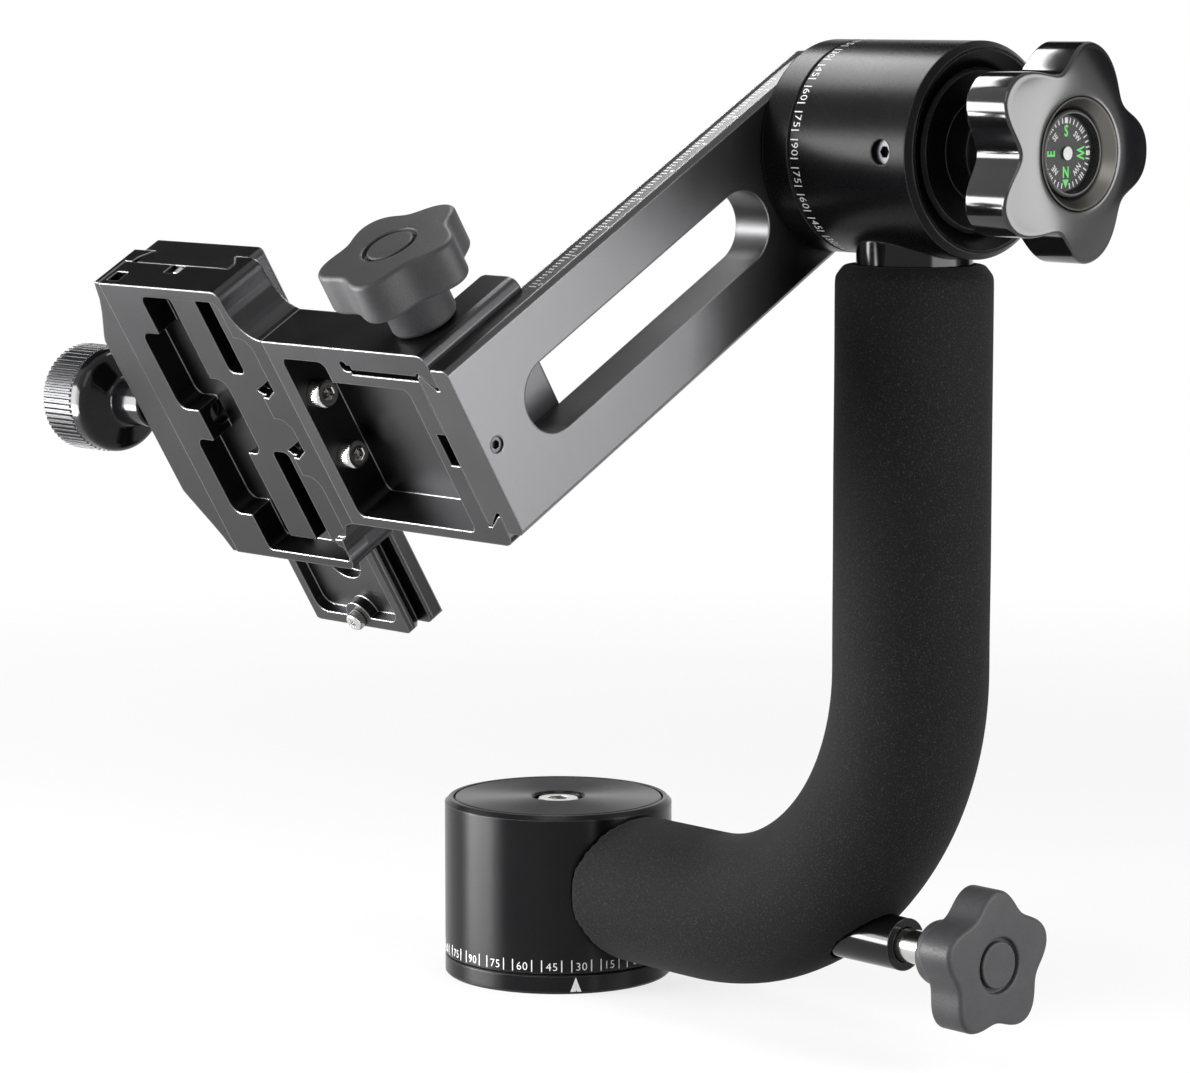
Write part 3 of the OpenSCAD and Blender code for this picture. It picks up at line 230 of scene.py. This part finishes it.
for name, look in (("drum_anodised", drumLook), ("tilt_anodised", tiltLook), ("arm_anodised", armLook),
                   ("clamp_anodised", clampShadedLook), ("swing_anodised", swingLitLook), ("bezel_metal", bezelLook)):
    anodised(name, look)

mouldedLook = {"sheen": 1.32, "dark": (0.013, 0.013, 0.014), "light": (0.042, 0.042, 0.044), "grain": 0.45,
               "grainFine": 0.65, "grainShare": 0.65, "cloud": 6, "rimWidth": 0.6, "edge": 0.5,
               "edgeHighlightTone": (0.11, 0.11, 0.115), "rough": 0.50, "grainRough": 0.2, "bump": 0.8,
               "depth": 0.09, "soft": 0.4}


def mouldedPlastic(name, look):
    # knobs: grained moulding, with lighter corners that are a painted highlight
    paint = Paint(name, {"IOR": look["sheen"]})
    grain = paint.noise(look["grain"], 3, rough=look["grainFine"])
    cloud = paint.noise(look["cloud"])
    blotch = cloud * (1 - look["grainShare"]) + grain * look["grainShare"]
    paint.set("Base Color", paint.worn(paint.mix(blotch, look["dark"], look["light"]), look))
    paint.grained(grain, look)


glossLook = {"sheen": 1.30, "front": (0.80, 0.97), "frontRough": 0.0, "tone": (0.003, 0.003, 0.0035),
             "rimWidth": 0.4, "edge": 0.6, "edgeHighlightTone": (0.10, 0.10, 0.105), "rough": 0.10, "ripple": 3.0,
             "rippleRough": 0.04, "soft": 0.5}
polishLook = {**glossLook, "sheen": 1.56, "frontRough": 0.06}


def glossPaint(name, look):
    # polished black; frontRough makes it satin where a face looks along X
    paint = Paint(name, {"IOR": look["sheen"]})
    # painted highlight: paler along the edges
    paint.set("Base Color", paint.worn(look["tone"], look))
    rough = look["rough"] + paint.noise(look["ripple"], 1) * look["rippleRough"]
    paint.set("Roughness", rough + paint.front(*look["front"]) * look["frontRough"])
    paint.set("Normal", paint.soft(look["soft"]))


mouldedPlastic("knob_plastic", mouldedLook)
glossPaint("gloss_black", glossLook)
glossPaint("knob_polish", polishLook)

bareLook = {"smudge": 5, "smudgeTone": 0.86, "grainRough": 0.14, "depth": 0.02, "soft": 0.15}
bareMetals = {
    "plated_steel": {"tone": (0.62, 0.61, 0.59), "rough": 0.17, "grain": 0.5, "bump": 0.08},
    "black_steel": {"tone": (0.06, 0.06, 0.065), "rough": 0.38, "grain": 0.4, "bump": 0.15},
    "machined_steel": {"tone": (0.46, 0.46, 0.47), "rough": 0.30, "grain": 0.3, "bump": 0.2},
    "bearing_steel": {"tone": (0.6, 0.6, 0.61), "rough": 0.12, "grain": 1.0, "bump": 0.05},
    "grip_aluminium": {"tone": (0.060, 0.060, 0.062), "rough": 0.40, "grain": 0.25, "bump": 0.3},
}


def bareMetal(name, look):
    paint = Paint(name, {"Metallic": 1.0})
    grain = paint.noise(look["grain"], 3)
    smudge = paint.noise(look["smudge"])
    paint.set("Base Color", paint.mix(smudge, shade(look["tone"], look["smudgeTone"]), look["tone"]))
    paint.grained(grain, look)


for name, look in bareMetals.items():
    bareMetal(name, {**bareLook, **look})

plainLook = {"sheen": 1.46, "grain": 0.5, "grainTone": 0.85, "grainRough": 0.08, "bump": 0.12, "depth": 0.03,
             "soft": 0.15}
plainPlastics = {
    "brake_nylon": {"tone": (0.7, 0.67, 0.6), "rough": 0.5},
    "dial_plastic": {"tone": (0.008, 0.008, 0.009), "rough": 0.42},
    "print_white": {"tone": (0.60, 0.60, 0.59), "rough": 0.55},
    "print_green": {"tone": (0.10, 0.62, 0.10), "rough": 0.5},
    "card_black": {"tone": (0.01, 0.01, 0.01), "rough": 0.9},
}


def plainPlastic(name, look):
    paint = Paint(name, {"IOR": look["sheen"]})
    grain = paint.noise(look["grain"])
    paint.set("Base Color", paint.mix(grain, shade(look["tone"], look["grainTone"]), look["tone"]))
    paint.grained(grain, look)


for name, look in plainPlastics.items():
    plainPlastic(name, {**plainLook, **look})

foamFinish = {"sheen": 1.17, "fuzz": 0.02, "fuzzRough": 0.6, "dark": (0.0020, 0.0020, 0.0022),
              "light": (0.0042, 0.0042, 0.0046), "cloud": 22, "cellsPerMetre": 1400.0, "speck": 0.40,
              "speckFine": 0.7, "speckFrom": 0.54, "speckTo": 0.68, "speckShare": 0.5,
              "speckTone": (0.036, 0.036, 0.038), "rough": 0.82, "speckRough": 0.1, "cellShare": 0.6,
              "bump": 0.6, "depth": 0.12}


def foamRubber(name, look):
    # closed-cell foam: matt black skin with tiny pale cells
    paint = Paint(name, {"IOR": look["sheen"], "Sheen Weight": look["fuzz"],
                         "Sheen Roughness": look["fuzzRough"]})
    cells = paint.node("ShaderNodeTexVoronoi", {"feature": "F1"},
                       {"Vector": paint.coords, "Scale": look["cellsPerMetre"]}, "Distance")
    grit = paint.noise(look["speck"], 3, rough=look["speckFine"])
    speck = grit.between(look["speckFrom"], look["speckTo"])
    base = paint.mix(paint.noise(look["cloud"], 3), look["dark"], look["light"])
    paint.set("Base Color", paint.mix(speck * look["speckShare"], base, look["speckTone"]))
    paint.set("Roughness", look["rough"] + speck * look["speckRough"])
    paint.set("Normal", paint.bump(cells * look["cellShare"] + speck * (1 - look["cellShare"]), look))


padLook = {"sheen": 1.45, "tone": (0.02, 0.02, 0.021), "grain": 0.4, "grainTone": 0.7, "rough": 0.75,
           "grainRough": 0.1, "ribsPerMetre": 160.0, "ribShare": 0.7, "bump": 0.5, "depth": 0.15}


def padRubber(name, look):
    # soft rubber with fine ribs across
    paint = Paint(name, {"IOR": look["sheen"]})
    grain = paint.noise(look["grain"])
    ribs = paint.node("ShaderNodeTexWave", {"wave_type": "BANDS", "bands_direction": "X"},
                      {"Vector": paint.coords, "Scale": look["ribsPerMetre"]})
    paint.set("Base Color", paint.mix(grain, shade(look["tone"], look["grainTone"]), look["tone"]))
    paint.set("Roughness", look["rough"] + (grain - 0.5) * look["grainRough"])
    paint.set("Normal", paint.bump(ribs * look["ribShare"] + grain * (1 - look["ribShare"]), look))


lensLook = {"sheen": 1.45, "alpha": 0.15, "rough": 0.01, "haze": 8, "hazeRough": 0.01}


def clearLens(name, look):
    # a thin clear window: mostly see-through, with a clean reflection
    paint = Paint(name, {"IOR": look["sheen"], "Alpha": look["alpha"], "Base Color": (0, 0, 0)})
    paint.set("Roughness", look["rough"] + paint.noise(look["haze"]) * look["hazeRough"])


foamRubber("foam", foamFinish)
padRubber("pad_rubber", padLook)
clearLens("lens_clear", lensLook)

# the drum's set screw is bright steel; black steel here is painted shade for the dark hole it sits in
ownFinish = {"arm_core": "gloss_black", "tilt_lock_knob": "knob_polish", "tilt_housing": "tilt_anodised",
             "tilt_end_cap": "tilt_anodised", "tilt_ring": "tilt_anodised", "drum_set_screw": "black_steel",
             "clamp_body": "clamp_anodised", "clamp_jaw": "clamp_anodised", "swing_arm": "swing_anodised"}
for part in frame["record"]["subparts"]:
    body = nodes[part["node"]]
    body.data.materials.clear()
    body.data.materials.append(finishes[ownFinish.get(part["node"], part["material_slot"])].material)
print("finishes made:", len(finishes))


def meshPiece(name, verts, faces, finish, body):
    mesh = bpy.data.meshes.new(name)
    mesh.from_pydata([tuple(v) for v in verts], [], faces)
    mesh.update()
    piece = bpy.data.objects.new(name, mesh)
    scene.collection.objects.link(piece)
    mesh.materials.append(finishes[finish].material)
    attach(piece, body)
    return piece


# the foam sleeve: remeshed, rounded at its cut ends and very slightly lumpy; its lower end lies
# snug against the round drum
foamLook = {"voxel": 0.8, "lump": 0.12, "lumpSize": 26, "relax": 0.5, "rounds": 8, "snugBelow": 100,
            "snugWithin": 32.6, "snugFrom": 31.4, "snugTo": 30.15, "snugSlope": 2.0}


def foamSleeve():
    look = foamLook
    source = nodes["foam_sleeve"]
    piece = source.copy()
    piece.data = source.data.copy()
    piece.name = "foamSkin"
    for key in [k for k in piece.keys() if k.startswith("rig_")]:
        del piece[key]
    piece.parent = None
    scene.collection.objects.link(piece)
    for other in bpy.context.selected_objects:
        other.select_set(False)
    piece.select_set(True)
    bpy.context.view_layer.objects.active = piece
    remesh = piece.modifiers.new("skin", "REMESH")
    remesh.mode = "VOXEL"
    remesh.voxel_size = look["voxel"] * mm
    remesh.use_smooth_shade = True
    bpy.ops.object.modifier_apply(modifier="skin")
    relax = piece.modifiers.new("relax", "SMOOTH")
    relax.factor, relax.iterations = look["relax"], look["rounds"]
    bpy.ops.object.modifier_apply(modifier="relax")
    skin = [(vert.co.copy(), vert.normal.copy()) for vert in piece.data.vertices]
    for vert, (place, out) in zip(piece.data.vertices, skin):
        spot = place + out * (noise.noise(place / (look["lumpSize"] * mm)) * look["lump"] * mm)
        reach = math.hypot(spot.x, spot.y) / mm
        if reach < look["snugWithin"] and spot.z < look["snugBelow"] * mm:
            snug = (look["snugTo"] + max(reach - look["snugFrom"], 0) * look["snugSlope"]) / reach
            spot.x, spot.y = spot.x * snug, spot.y * snug
        vert.co = spot
    piece.data.materials.clear()
    piece.data.materials.append(finishes["foam"].material)
    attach(piece, "upright")
    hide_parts("foam_sleeve")


foamSleeve()
print("foam sleeve made")


# knobs: lofted from rings of points, so that their edges are smooth
starKnobLook = {"tip": 18.1, "valley": 14.4, "thick": 10.5, "edge": 1.2, "broad": 1.0, "hub": 8.0,
                "hubLong": 10.4, "hubRound": 1.2, "recess": 6.8, "recessDeep": 1.6, "crown": 0.25,
                "crownFall": 1.8, "rimRound": 0.5, "lobes": 5, "around": 200}
tiltKnobLook = {**starKnobLook, "tip": 26.4, "valley": 19.3, "thick": 15.0, "edge": 1.0, "broad": 1.2,
                "hub": 13.0, "hubLong": 8.0, "recess": 13.0, "recessDeep": 7.4, "crown": 2.6, "rimRound": 0.6}


def loftPiece(name, rings, frames, finish, body):
    # rings of equal length, in millimetres, joined and closed at both ends
    count = len(rings[0])
    verts, faces, ends = [], [], []
    for frameAt in frames:
        base = len(verts)
        last = base + (len(rings) - 1) * count
        verts += [frameAt @ (Vector(p) * mm) for ring in rings for p in ring]
        ends += [len(faces), len(faces) + 1]
        faces.append(tuple(range(base, base + count))[::-1])
        faces.append(tuple(range(last, last + count)))
        for start in range(base, last, count):
            for i in range(count):
                a, b = start + i, start + (i + 1) % count
                faces.append((a, b, b + count, a + count))
    piece = meshPiece(name, verts, faces, finish, body)
    for face in piece.data.polygons:
        face.use_smooth = face.index not in ends
    return piece


def quarterTurns(count):  # angles from 0 to 90 degrees
    return [math.radians(90 * k / count) for k in range(count + 1)]


def starRings(look):
    mouth = look["recess"] + look["rimRound"]

    def crownAt(r):
        # the front face is turned: it falls away from the middle circle to the lobes
        outward = max(r - mouth, 0) / (look["tip"] - mouth)
        return look["thick"] - look["crown"] * outward ** look["crownFall"]

    def lobed(inset, z, mixed=0.0, toRadius=0.0, onCrown=False):
        # mixed draws the lobes in towards a plain circle
        ring = []
        for i in range(look["around"]):
            a = 2 * math.pi * i / look["around"]
            dip = ((1 - math.cos(look["lobes"] * a)) / 2) ** look["broad"]
            full = look["valley"] + (look["tip"] - look["valley"]) * (1 - dip)
            r = (full - inset) * (1 - mixed) + toRadius * mixed
            face = (crownAt(r) if mixed else crownAt(full - look["edge"])) if onCrown else 0
            ring.append((r * math.cos(a), r * math.sin(a), face + z))
        return ring

    edge, hub, foot, hubRound = look["edge"], look["hub"], -look["hubLong"], look["hubRound"]
    # the hub with its rounded foot, then over a small fillet out to the lobes
    bend, fillet = 0.35, 0.4
    rings = [lobed(0, foot, 1, hub - hubRound), lobed(0, foot + bend, 1, hub - bend)]
    rings += [lobed(0, foot + hubRound, 1, hub), lobed(0, -fillet, 1, hub), lobed(0, 0, 1, hub + fillet)]
    rings += [lobed(edge + 0.6, 0, 0.3, hub), lobed(edge + 0.3, 0)]
    # round the lobes' back and front edges, and in over the crown
    corner = [(edge * (1 - math.sin(a)), edge * (1 - math.cos(a))) for a in quarterTurns(8)]
    rings += [lobed(inset, z) for inset, z in corner]
    rings += [lobed(inset, -z, onCrown=True) for inset, z in reversed(corner)]
    rings += [lobed(edge, 0, k / 12, mouth, True) for k in range(1, 13)]
    # over the rim of the middle recess and down to its floor
    for a in quarterTurns(4)[1:]:
        drop = look["rimRound"] * (1 - math.cos(a))
        rings.append(lobed(0, look["thick"] - drop, 1, mouth - look["rimRound"] * math.sin(a)))
    floorAt = look["thick"] - look["recessDeep"]
    return rings + [lobed(0, floorAt + 0.02, 1, look["recess"]), lobed(0, floorAt, 1, look["recess"] - 0.05)]


# a knob's seat is the middle of its lobes' back face, with Z along its screw
bracketSide = -26.8
knobSeats = {
    "pan_lock_knob": {
        "seat": moved(147.6, 0, 27.6) @ turned(90, "Y") @ turned(180, "Z"),
        "body": "pan_lock", "look": starKnobLook, "finish": "knob_plastic", "slot": "knob_plastic"},
    "platform_knob": {
        "seat": (armFrame @ moved(84, bracketSide - starKnobLook["hubLong"], 12.9)
                 @ turned(90, "X") @ turned(7.5, "Z")),
        "body": "platform_lock", "look": starKnobLook, "finish": "knob_plastic", "slot": "knob_plastic"},
    "tilt_lock_knob": {
        "seat": moved(164.9, 0, tiltHeight) @ turned(90, "Y") @ turned(90, "Z"),
        "body": "tilt_lock", "look": tiltKnobLook, "finish": "knob_polish", "slot": "gloss_black"},
}


def starKnobs():
    for node, knob in knobSeats.items():
        rings = starRings(knob["look"])
        piece = loftPiece(node + "_smooth", rings, [knob["seat"]], knob["finish"], knob["body"])
        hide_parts(node)


starKnobs()
print("knobs made")


# socket cap screws with knurled heads; a screw's seat is the middle of its head's underside,
# with Z towards the socket
screwLook = {"teeth": 36, "knurl": 0.14, "around": 144, "socket": 0.45}
bracketScrew = {"head": 3.5, "height": 4, "shank": 2, "length": 15, "hexWide": 3}
plateScrew = {"head": 2.5, "height": 2.7, "shank": 1.5, "length": 7.1, "hexWide": 2}
screwSeats = {
    "bracket_screws": {"seats": [armFrame @ moved(41, y, 5) @ turned(90, "Y") for y in (-8.8, 8.8)],
                       "size": bracketScrew, "body": "platform"},
    "plate_stop_screws": {"seats": [armFrame @ moved(3, y, 9.9) @ turned(180, "X") for y in (-36.8, 66.4)],
                          "size": plateScrew, "body": "plate"},
}


def screwRings(head, height, shank, length, hexWide):
    def ring(radius, z, knurled=0.0, toHex=0.0):
        points = []
        for i in range(screwLook["around"]):
            a = 2 * math.pi * i / screwLook["around"]
            hexagon = hexWide / 2 / math.cos((a + math.pi / 6) % (math.pi / 3) - math.pi / 6)
            r = radius * (1 - toHex) + hexagon * toHex
            r -= knurled * (0.5 + 0.5 * math.cos(screwLook["teeth"] * a)) * screwLook["knurl"]
            points.append((r * math.cos(a), r * math.sin(a), z))
        return points

    # each row is a radius, a height, and how far the ring is knurled and drawn to the hexagon
    socket = height * screwLook["socket"]
    threaded = [(shank - 0.3, -length), (shank, -length + 0.3), (shank, -0.02), (shank + 0.05, 0)]
    lower = [(head - 0.3, 0), (head - 0.15, 0.02), (head, 0.2, 1), (head, 0.5, 1)]
    upper = [(head, height - 0.75, 1), (head - 0.05, height - 0.55, 0.5), (head - 0.2, height - 0.3),
             (head - 0.5, height - 0.06), (head - 0.75, height), (head - 1.1, height)]
    inner = [(0, height, 0, 1), (-0.1, height - 0.12, 0, 0.96), (0, socket + 0.05, 0, 0.96),
             (0, socket, 0, 0.93)]
    return [ring(*row) for row in threaded + lower + upper + inner]


def capScrews():
    for node, screw in screwSeats.items():
        rings, body = screwRings(**screw["size"]), screw["body"]
        piece = loftPiece(node + "_knurled", rings, screw["seats"], "plated_steel", body)
        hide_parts(node)


capScrews()
print("screws made")


# printed marks are thin meshes laid just above the surface they belong to
lift = 0.03
# capital is the height of a capital as a share of the letter size
wordLook = {"capital": 0.73, "spacing": 1.1, "curveSteps": 3, "bold": -0.006}
wordsMade = {}


def middle(values):
    return (min(values) + max(values)) / 2


def wordMesh(word, height, bold=wordLook["bold"]):
    # outline of a word in millimetres, centred on its own middle
    if (word, bold) not in wordsMade:
        curve = bpy.data.curves.new("word", "FONT")
        curve.body, curve.size, curve.offset = word, 1.0, bold
        curve.resolution_u, curve.space_character = wordLook["curveSteps"], wordLook["spacing"]
        mesh = bpy.data.meshes.new_from_object(bpy.data.objects.new("word", curve))
        points = [(v.co.x, v.co.y) for v in mesh.vertices]
        wordsMade[word, bold] = points, [tuple(p.vertices) for p in mesh.polygons]
    points, faces = wordsMade[word, bold]
    middleX, middleY = middle([x for x, y in points]), middle([y for x, y in points])
    scale = height / wordLook["capital"]
    return [((x - middleX) * scale, (y - middleY) * scale) for x, y in points], faces


def bar(x0, y0, x1, y1):  # from corner to corner
    return [(x0, y0), (x1, y0), (x1, y1), (x0, y1)], [(0, 1, 2, 3)]


class Marks:
    # gathers flat shapes and lays them on a surface through one function
    def __init__(self, place):
        self.place, self.verts, self.faces = place, [], []

    def add(self, shape, dx=0.0, dy=0.0, turn=0.0, wide=1.0):
        # narrowed and turned about its own middle, then moved
        points, faces = shape
        start = len(self.verts)
        c, s = math.cos(math.radians(turn)), math.sin(math.radians(turn))
        for x, y in points:
            x *= wide
            self.verts.append(self.place(x * c - y * s + dx, x * s + y * c + dy) * mm)
        self.faces += [tuple(start + i for i in face) for face in faces]

    def finish(self, name, body, finish="print_white"):
        meshPiece(name, self.verts, self.faces, finish, body)


panScale = {"radius": 30, "low": 5.9, "digit": 2.2, "gap": 0.3, "tick": 3.1, "line": 0.28}
panPointer = {"half": 1.45, "tall": 3.8, "low": 0.7, "degree": -33}
tiltScale = {"radius": 25.6, "low": 111.5, "digit": 2.3, "gap": 0.4, "tick": 2.6, "line": 0.28}
# back, edge and foot are the flange's back, its edge face and the bracket's rest edge on the arm
rulerScale = {"back": 96.0, "edge": -22.75, "foot": 34.4, "steps": 76, "pitch": 1.2, "half": 0.17,
              "inset": 0.35, "short": 1.75, "fifth": 1.2, "long": 2.3, "digit": 1.5, "bold": 0.02,
              "digitBeside": 1.0, "digitOver": 3.3}


def foldedDegree(degree):
    degree = degree % 180
    return 180 - degree if degree > 90 else degree


def degreeRing(name, place, look, number):
    # a figure at every 15 degrees and a tick at every 5 between them
    marks = Marks(place)
    for degree in range(-180, 180, 5):
        x = math.radians(degree) * (look["radius"] + lift)
        if degree % 15 == 0:
            word = wordMesh(str(number(degree)), look["digit"])
            marks.add(word, x, look["low"] + look["digit"] / 2 + look["gap"])
        else:
            marks.add(bar(-look["line"] / 2, 0, look["line"] / 2, look["tick"]), x, look["low"])
    marks.finish(name, "upright")


def panMarks():
    r = panScale["radius"] + lift

    def place(x, y):  # x runs round the drum, y up it
        return Vector((r * math.cos(x / r), r * math.sin(x / r), y))

    degreeRing("panScalePrint", place, panScale, foldedDegree)
    half, tall = panPointer["half"], panPointer["tall"]
    triangle = [(-half, 0), (half, 0), (0, tall)], [(0, 1, 2)]
    pointer = Marks(place)
    pointer.add(triangle, math.radians(panPointer["degree"]) * r, panPointer["low"])
    pointer.finish("panPointerPrint", "base")


def tiltMarks():
    r = tiltScale["radius"] + lift

    def place(x, y):  # x runs down the near side of the drum, y along +X
        return Vector((y, -r * math.cos(x / r), tiltHeight - r * math.sin(x / r)))

    degreeRing("tiltScalePrint", place, tiltScale, lambda degree: 90 - foldedDegree(degree))


def rulerMarks():
    # on the long edge face of the arm's front flange, upper side in the photograph
    look = rulerScale

    def place(x, y):  # x runs up the arm from the bracket's rest edge, y from the flange's back to its front
        across = Vector((look["back"] + y, 0, 0)) + alongPlate * (look["edge"] - lift)
        return across + alongArm * (look["foot"] + x) + armFoot

    marks = Marks(place)
    for step in range(look["steps"]):
        x = step * look["pitch"]
        tall = look["long"] if step % 10 == 0 else look["short"] * (look["fifth"] if step % 5 == 0 else 1)
        marks.add(bar(-look["half"], look["inset"], look["half"], look["inset"] + tall), x)
        if step % 10 == 0:
            digit = wordMesh(str(step // 10), look["digit"], look["bold"])
            marks.add(digit, x + look["digitBeside"], look["digitOver"])
    marks.finish("rulerPrint", "swing")


panMarks()
tiltMarks()
rulerMarks()

# the letters with their directions and distances from the middle
dialLook = {"sunk": 0.6, "tickIn": 6.9, "tickOut": 8.2, "thin": 0.32, "wide": 1.05, "capRadius": 1.55,
            "narrow": 0.82, "letter": 2.6, "bold": 0.025, "small": 1.45, "smallBold": 0.02,
            "letters": (("S", 0, 5.2), ("E", 90, 5.1), ("W", -90, 5.0), ("N", 180, 4.3)),
            "smallLetters": (("SE", 45, 5.3), ("NE", 135, 5.3), ("NW", -135, 5.3), ("SW", -45, 5.3)),
            "needleHalf": 1.05, "needleFrom": 6.0, "needleTip": 7.9}


def compassDial():
    look = dialLook
    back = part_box("compass_card")[1].x / mm

    def placeAt(height):
        def place(x, y):  # seen from +X with north down, as the card has settled
            return Vector((height, x, tiltHeight + y))
        return place

    def letters(marks, rows, height, bold):
        for word, degree, radius in rows:
            a, shape = math.radians(degree), wordMesh(word, height, bold)
            marks.add(shape, -math.sin(a) * radius, math.cos(a) * radius, degree, look["narrow"])

    face = back - look["sunk"] + lift
    white = Marks(placeAt(face))
    for quarter in range(0, 360, 90):
        for step in (0, 10, 20, 30, 40, 45, 50, 60, 70, 80):
            if quarter + step == 180:
                continue  # the needle stands here
            half = look["thin" if step else "wide"] / 2
            white.add(bar(-half, look["tickIn"], half, look["tickOut"]), turn=quarter + step)
    letters(white, look["smallLetters"], look["small"], look["smallBold"])
    white.finish("compassPrint", "compass")
    green = Marks(placeAt(face))
    letters(green, look["letters"], look["letter"], look["bold"])
    half, foot, tip = look["needleHalf"], -look["needleFrom"], -look["needleTip"]
    green.add(([(-half, foot), (half, foot), (0, tip)], [(0, 2, 1)]))
    green.finish("compassNeedlePrint", "compass", "print_green")
    cap = Marks(placeAt(back + lift))
    r, corners = look["capRadius"], 48
    turns = [2 * math.pi * i / corners for i in range(corners)]
    cap.add(([(r * math.cos(a), r * math.sin(a)) for a in turns], [tuple(range(corners))]))
    cap.finish("compassPivotCap", "compass")


compassDial()
print("marks printed")


# the studio, in metres
class Studio(Wiring):
    # a bare tree, in which what is looked at can differ from what only lights the part
    def __init__(self, owner):
        owner.use_nodes = True
        super().__init__(owner.node_tree)
        self.tree.nodes.clear()

    def looked(self):
        # 1 for rays from the camera, straight, mirrored or through the lens
        camera, glossy, through = [self.node("ShaderNodeLightPath", out="Is " + kind + " Ray")
                                   for kind in ("Camera", "Glossy", "Transmission")]
        return camera.orMore(glossy).orMore(through)

    def show(self, outputKind, share, low, high):
        mixed = self.node("ShaderNodeMixShader", {}, {0: share, 1: low, 2: high})
        self.node(outputKind, {}, {"Surface": mixed})


def panel(name, wide, tall, material):
    mesh = bpy.data.meshes.new(name)
    x, y = wide / 2, tall / 2
    mesh.from_pydata([(-x, -y, 0), (x, -y, 0), (x, y, 0), (-x, y, 0)], [], [(0, 1, 2, 3)])
    mesh.materials.append(material)
    return bpy.data.objects.new(name, mesh)


def stand(thing, place, aim):
    # puts a lamp, card or camera in its place and turns it to what it looks at
    thing.location = place
    thing.rotation_euler = (Vector(aim) - thing.location).to_track_quat("-Z", "Y").to_euler()
    scene.collection.objects.link(thing)


floorLook = {"tone": (0.86, 0.86, 0.86), "wide": 8, "glow": 0.75, "glowFrom": 0.22, "whiteFrom": 0.75}


def layFloor():
    material = bpy.data.materials.new("floorWhite")
    studio = Studio(material)
    matt = studio.node("ShaderNodeBsdfDiffuse", {}, {"Color": floorLook["tone"]})
    glow = studio.node("ShaderNodeEmission")
    # pure white away from the object, so that no horizon shows
    place = studio.node("ShaderNodeNewGeometry", out="Position")
    away = studio.node("ShaderNodeVectorMath", {"operation": "LENGTH"}, {0: place}, "Value")
    far = studio.node("ShaderNodeMapRange", {}, {
        "Value": away, "From Min": floorLook["glowFrom"], "From Max": floorLook["whiteFrom"],
        "To Min": floorLook["glow"], "To Max": 1.0})
    studio.show("ShaderNodeOutputMaterial", studio.looked() * far, matt, glow)
    floor = panel("studioFloor", floorLook["wide"], floorLook["wide"], material)
    scene.collection.objects.link(floor)


worldLook = {"fill": 0.28, "white": 1.0}


def lightWorld():
    # white to look at, and dimmer as a light
    world = bpy.data.worlds.new("studio")
    scene.world = world
    studio = Studio(world)
    fill, white = [studio.node("ShaderNodeBackground", {}, {"Color": (1, 1, 1), "Strength": worldLook[key]})
                   for key in ("fill", "white")]
    studio.show("ShaderNodeOutputWorld", studio.looked(), fill, white)


# boxes are metres wide and tall; glow is their own brightness
lampAim = (0.05, 0, 0.14)
lamps = {
    "keyBox": {"place": (0.5, -1.3, 1.2), "size": (0.9, 0.9), "glow": 2.4, "aim": lampAim},
    "sideBox": {"place": (-0.60, -0.84, 0.22), "size": (0.95, 0.40), "glow": 19.0, "aim": lampAim},
    "footBox": {"place": (-0.255, -0.365, 0.055), "size": (0.26, 0.10), "glow": 42.0, "aim": (0, 0, 0.04)},
    "drumBox": {"place": (-0.005, -0.012, 0.379), "size": (0.13, 0.075), "glow": 14.0,
                "aim": (0.1425, -0.018, 0.245)},
    "rightBox": {"place": (0.57, 0.107, 0.185), "size": (0.45, 0.36), "glow": 8.5, "aim": lampAim},
}
cardAim = (0.1, 0, 0.2)
cards = {
    "rightCard": {"place": (0.50, 1.20, 0.45), "size": (0.78, 1.1)},
    "roofCard": {"place": (-1.15, 0.35, 1.30), "size": (1.9, 1.3)},
}


def hangLamps():
    for name, look in lamps.items():
        light = bpy.data.lights.new(name, "AREA")
        light.shape = "RECTANGLE"
        light.size, light.size_y = look["size"]
        light.energy = look["glow"] * math.pi * light.size * light.size_y
        lamp = bpy.data.objects.new(name, light)
        stand(lamp, look["place"], look["aim"])
        lamp.visible_camera = False


def standCards():
    # black cards, which the polished faces mirror
    for name, look in cards.items():
        card = panel(name, *look["size"], finishes["card_black"].material)
        stand(card, look["place"], cardAim)
        card.visible_camera = False


cameraLook = {"place": (0.8349, -0.7423, 0.2556), "aim": (0.0145, 0.0, 0.1172), "lens": 129.72,
              "sensor": 36.0, "near": 0.05, "far": 20}


def placeCamera():
    data = bpy.data.cameras.new("photoCamera")
    data.lens, data.sensor_width = cameraLook["lens"], cameraLook["sensor"]
    data.clip_start, data.clip_end = cameraLook["near"], cameraLook["far"]
    camera = bpy.data.objects.new("photoCamera", data)
    stand(camera, cameraLook["place"], cameraLook["aim"])
    scene.camera = camera


layFloor()
lightWorld()
hangLamps()
standCards()
placeCamera()
scene.view_settings.view_transform = "Standard"
print("studio ready")
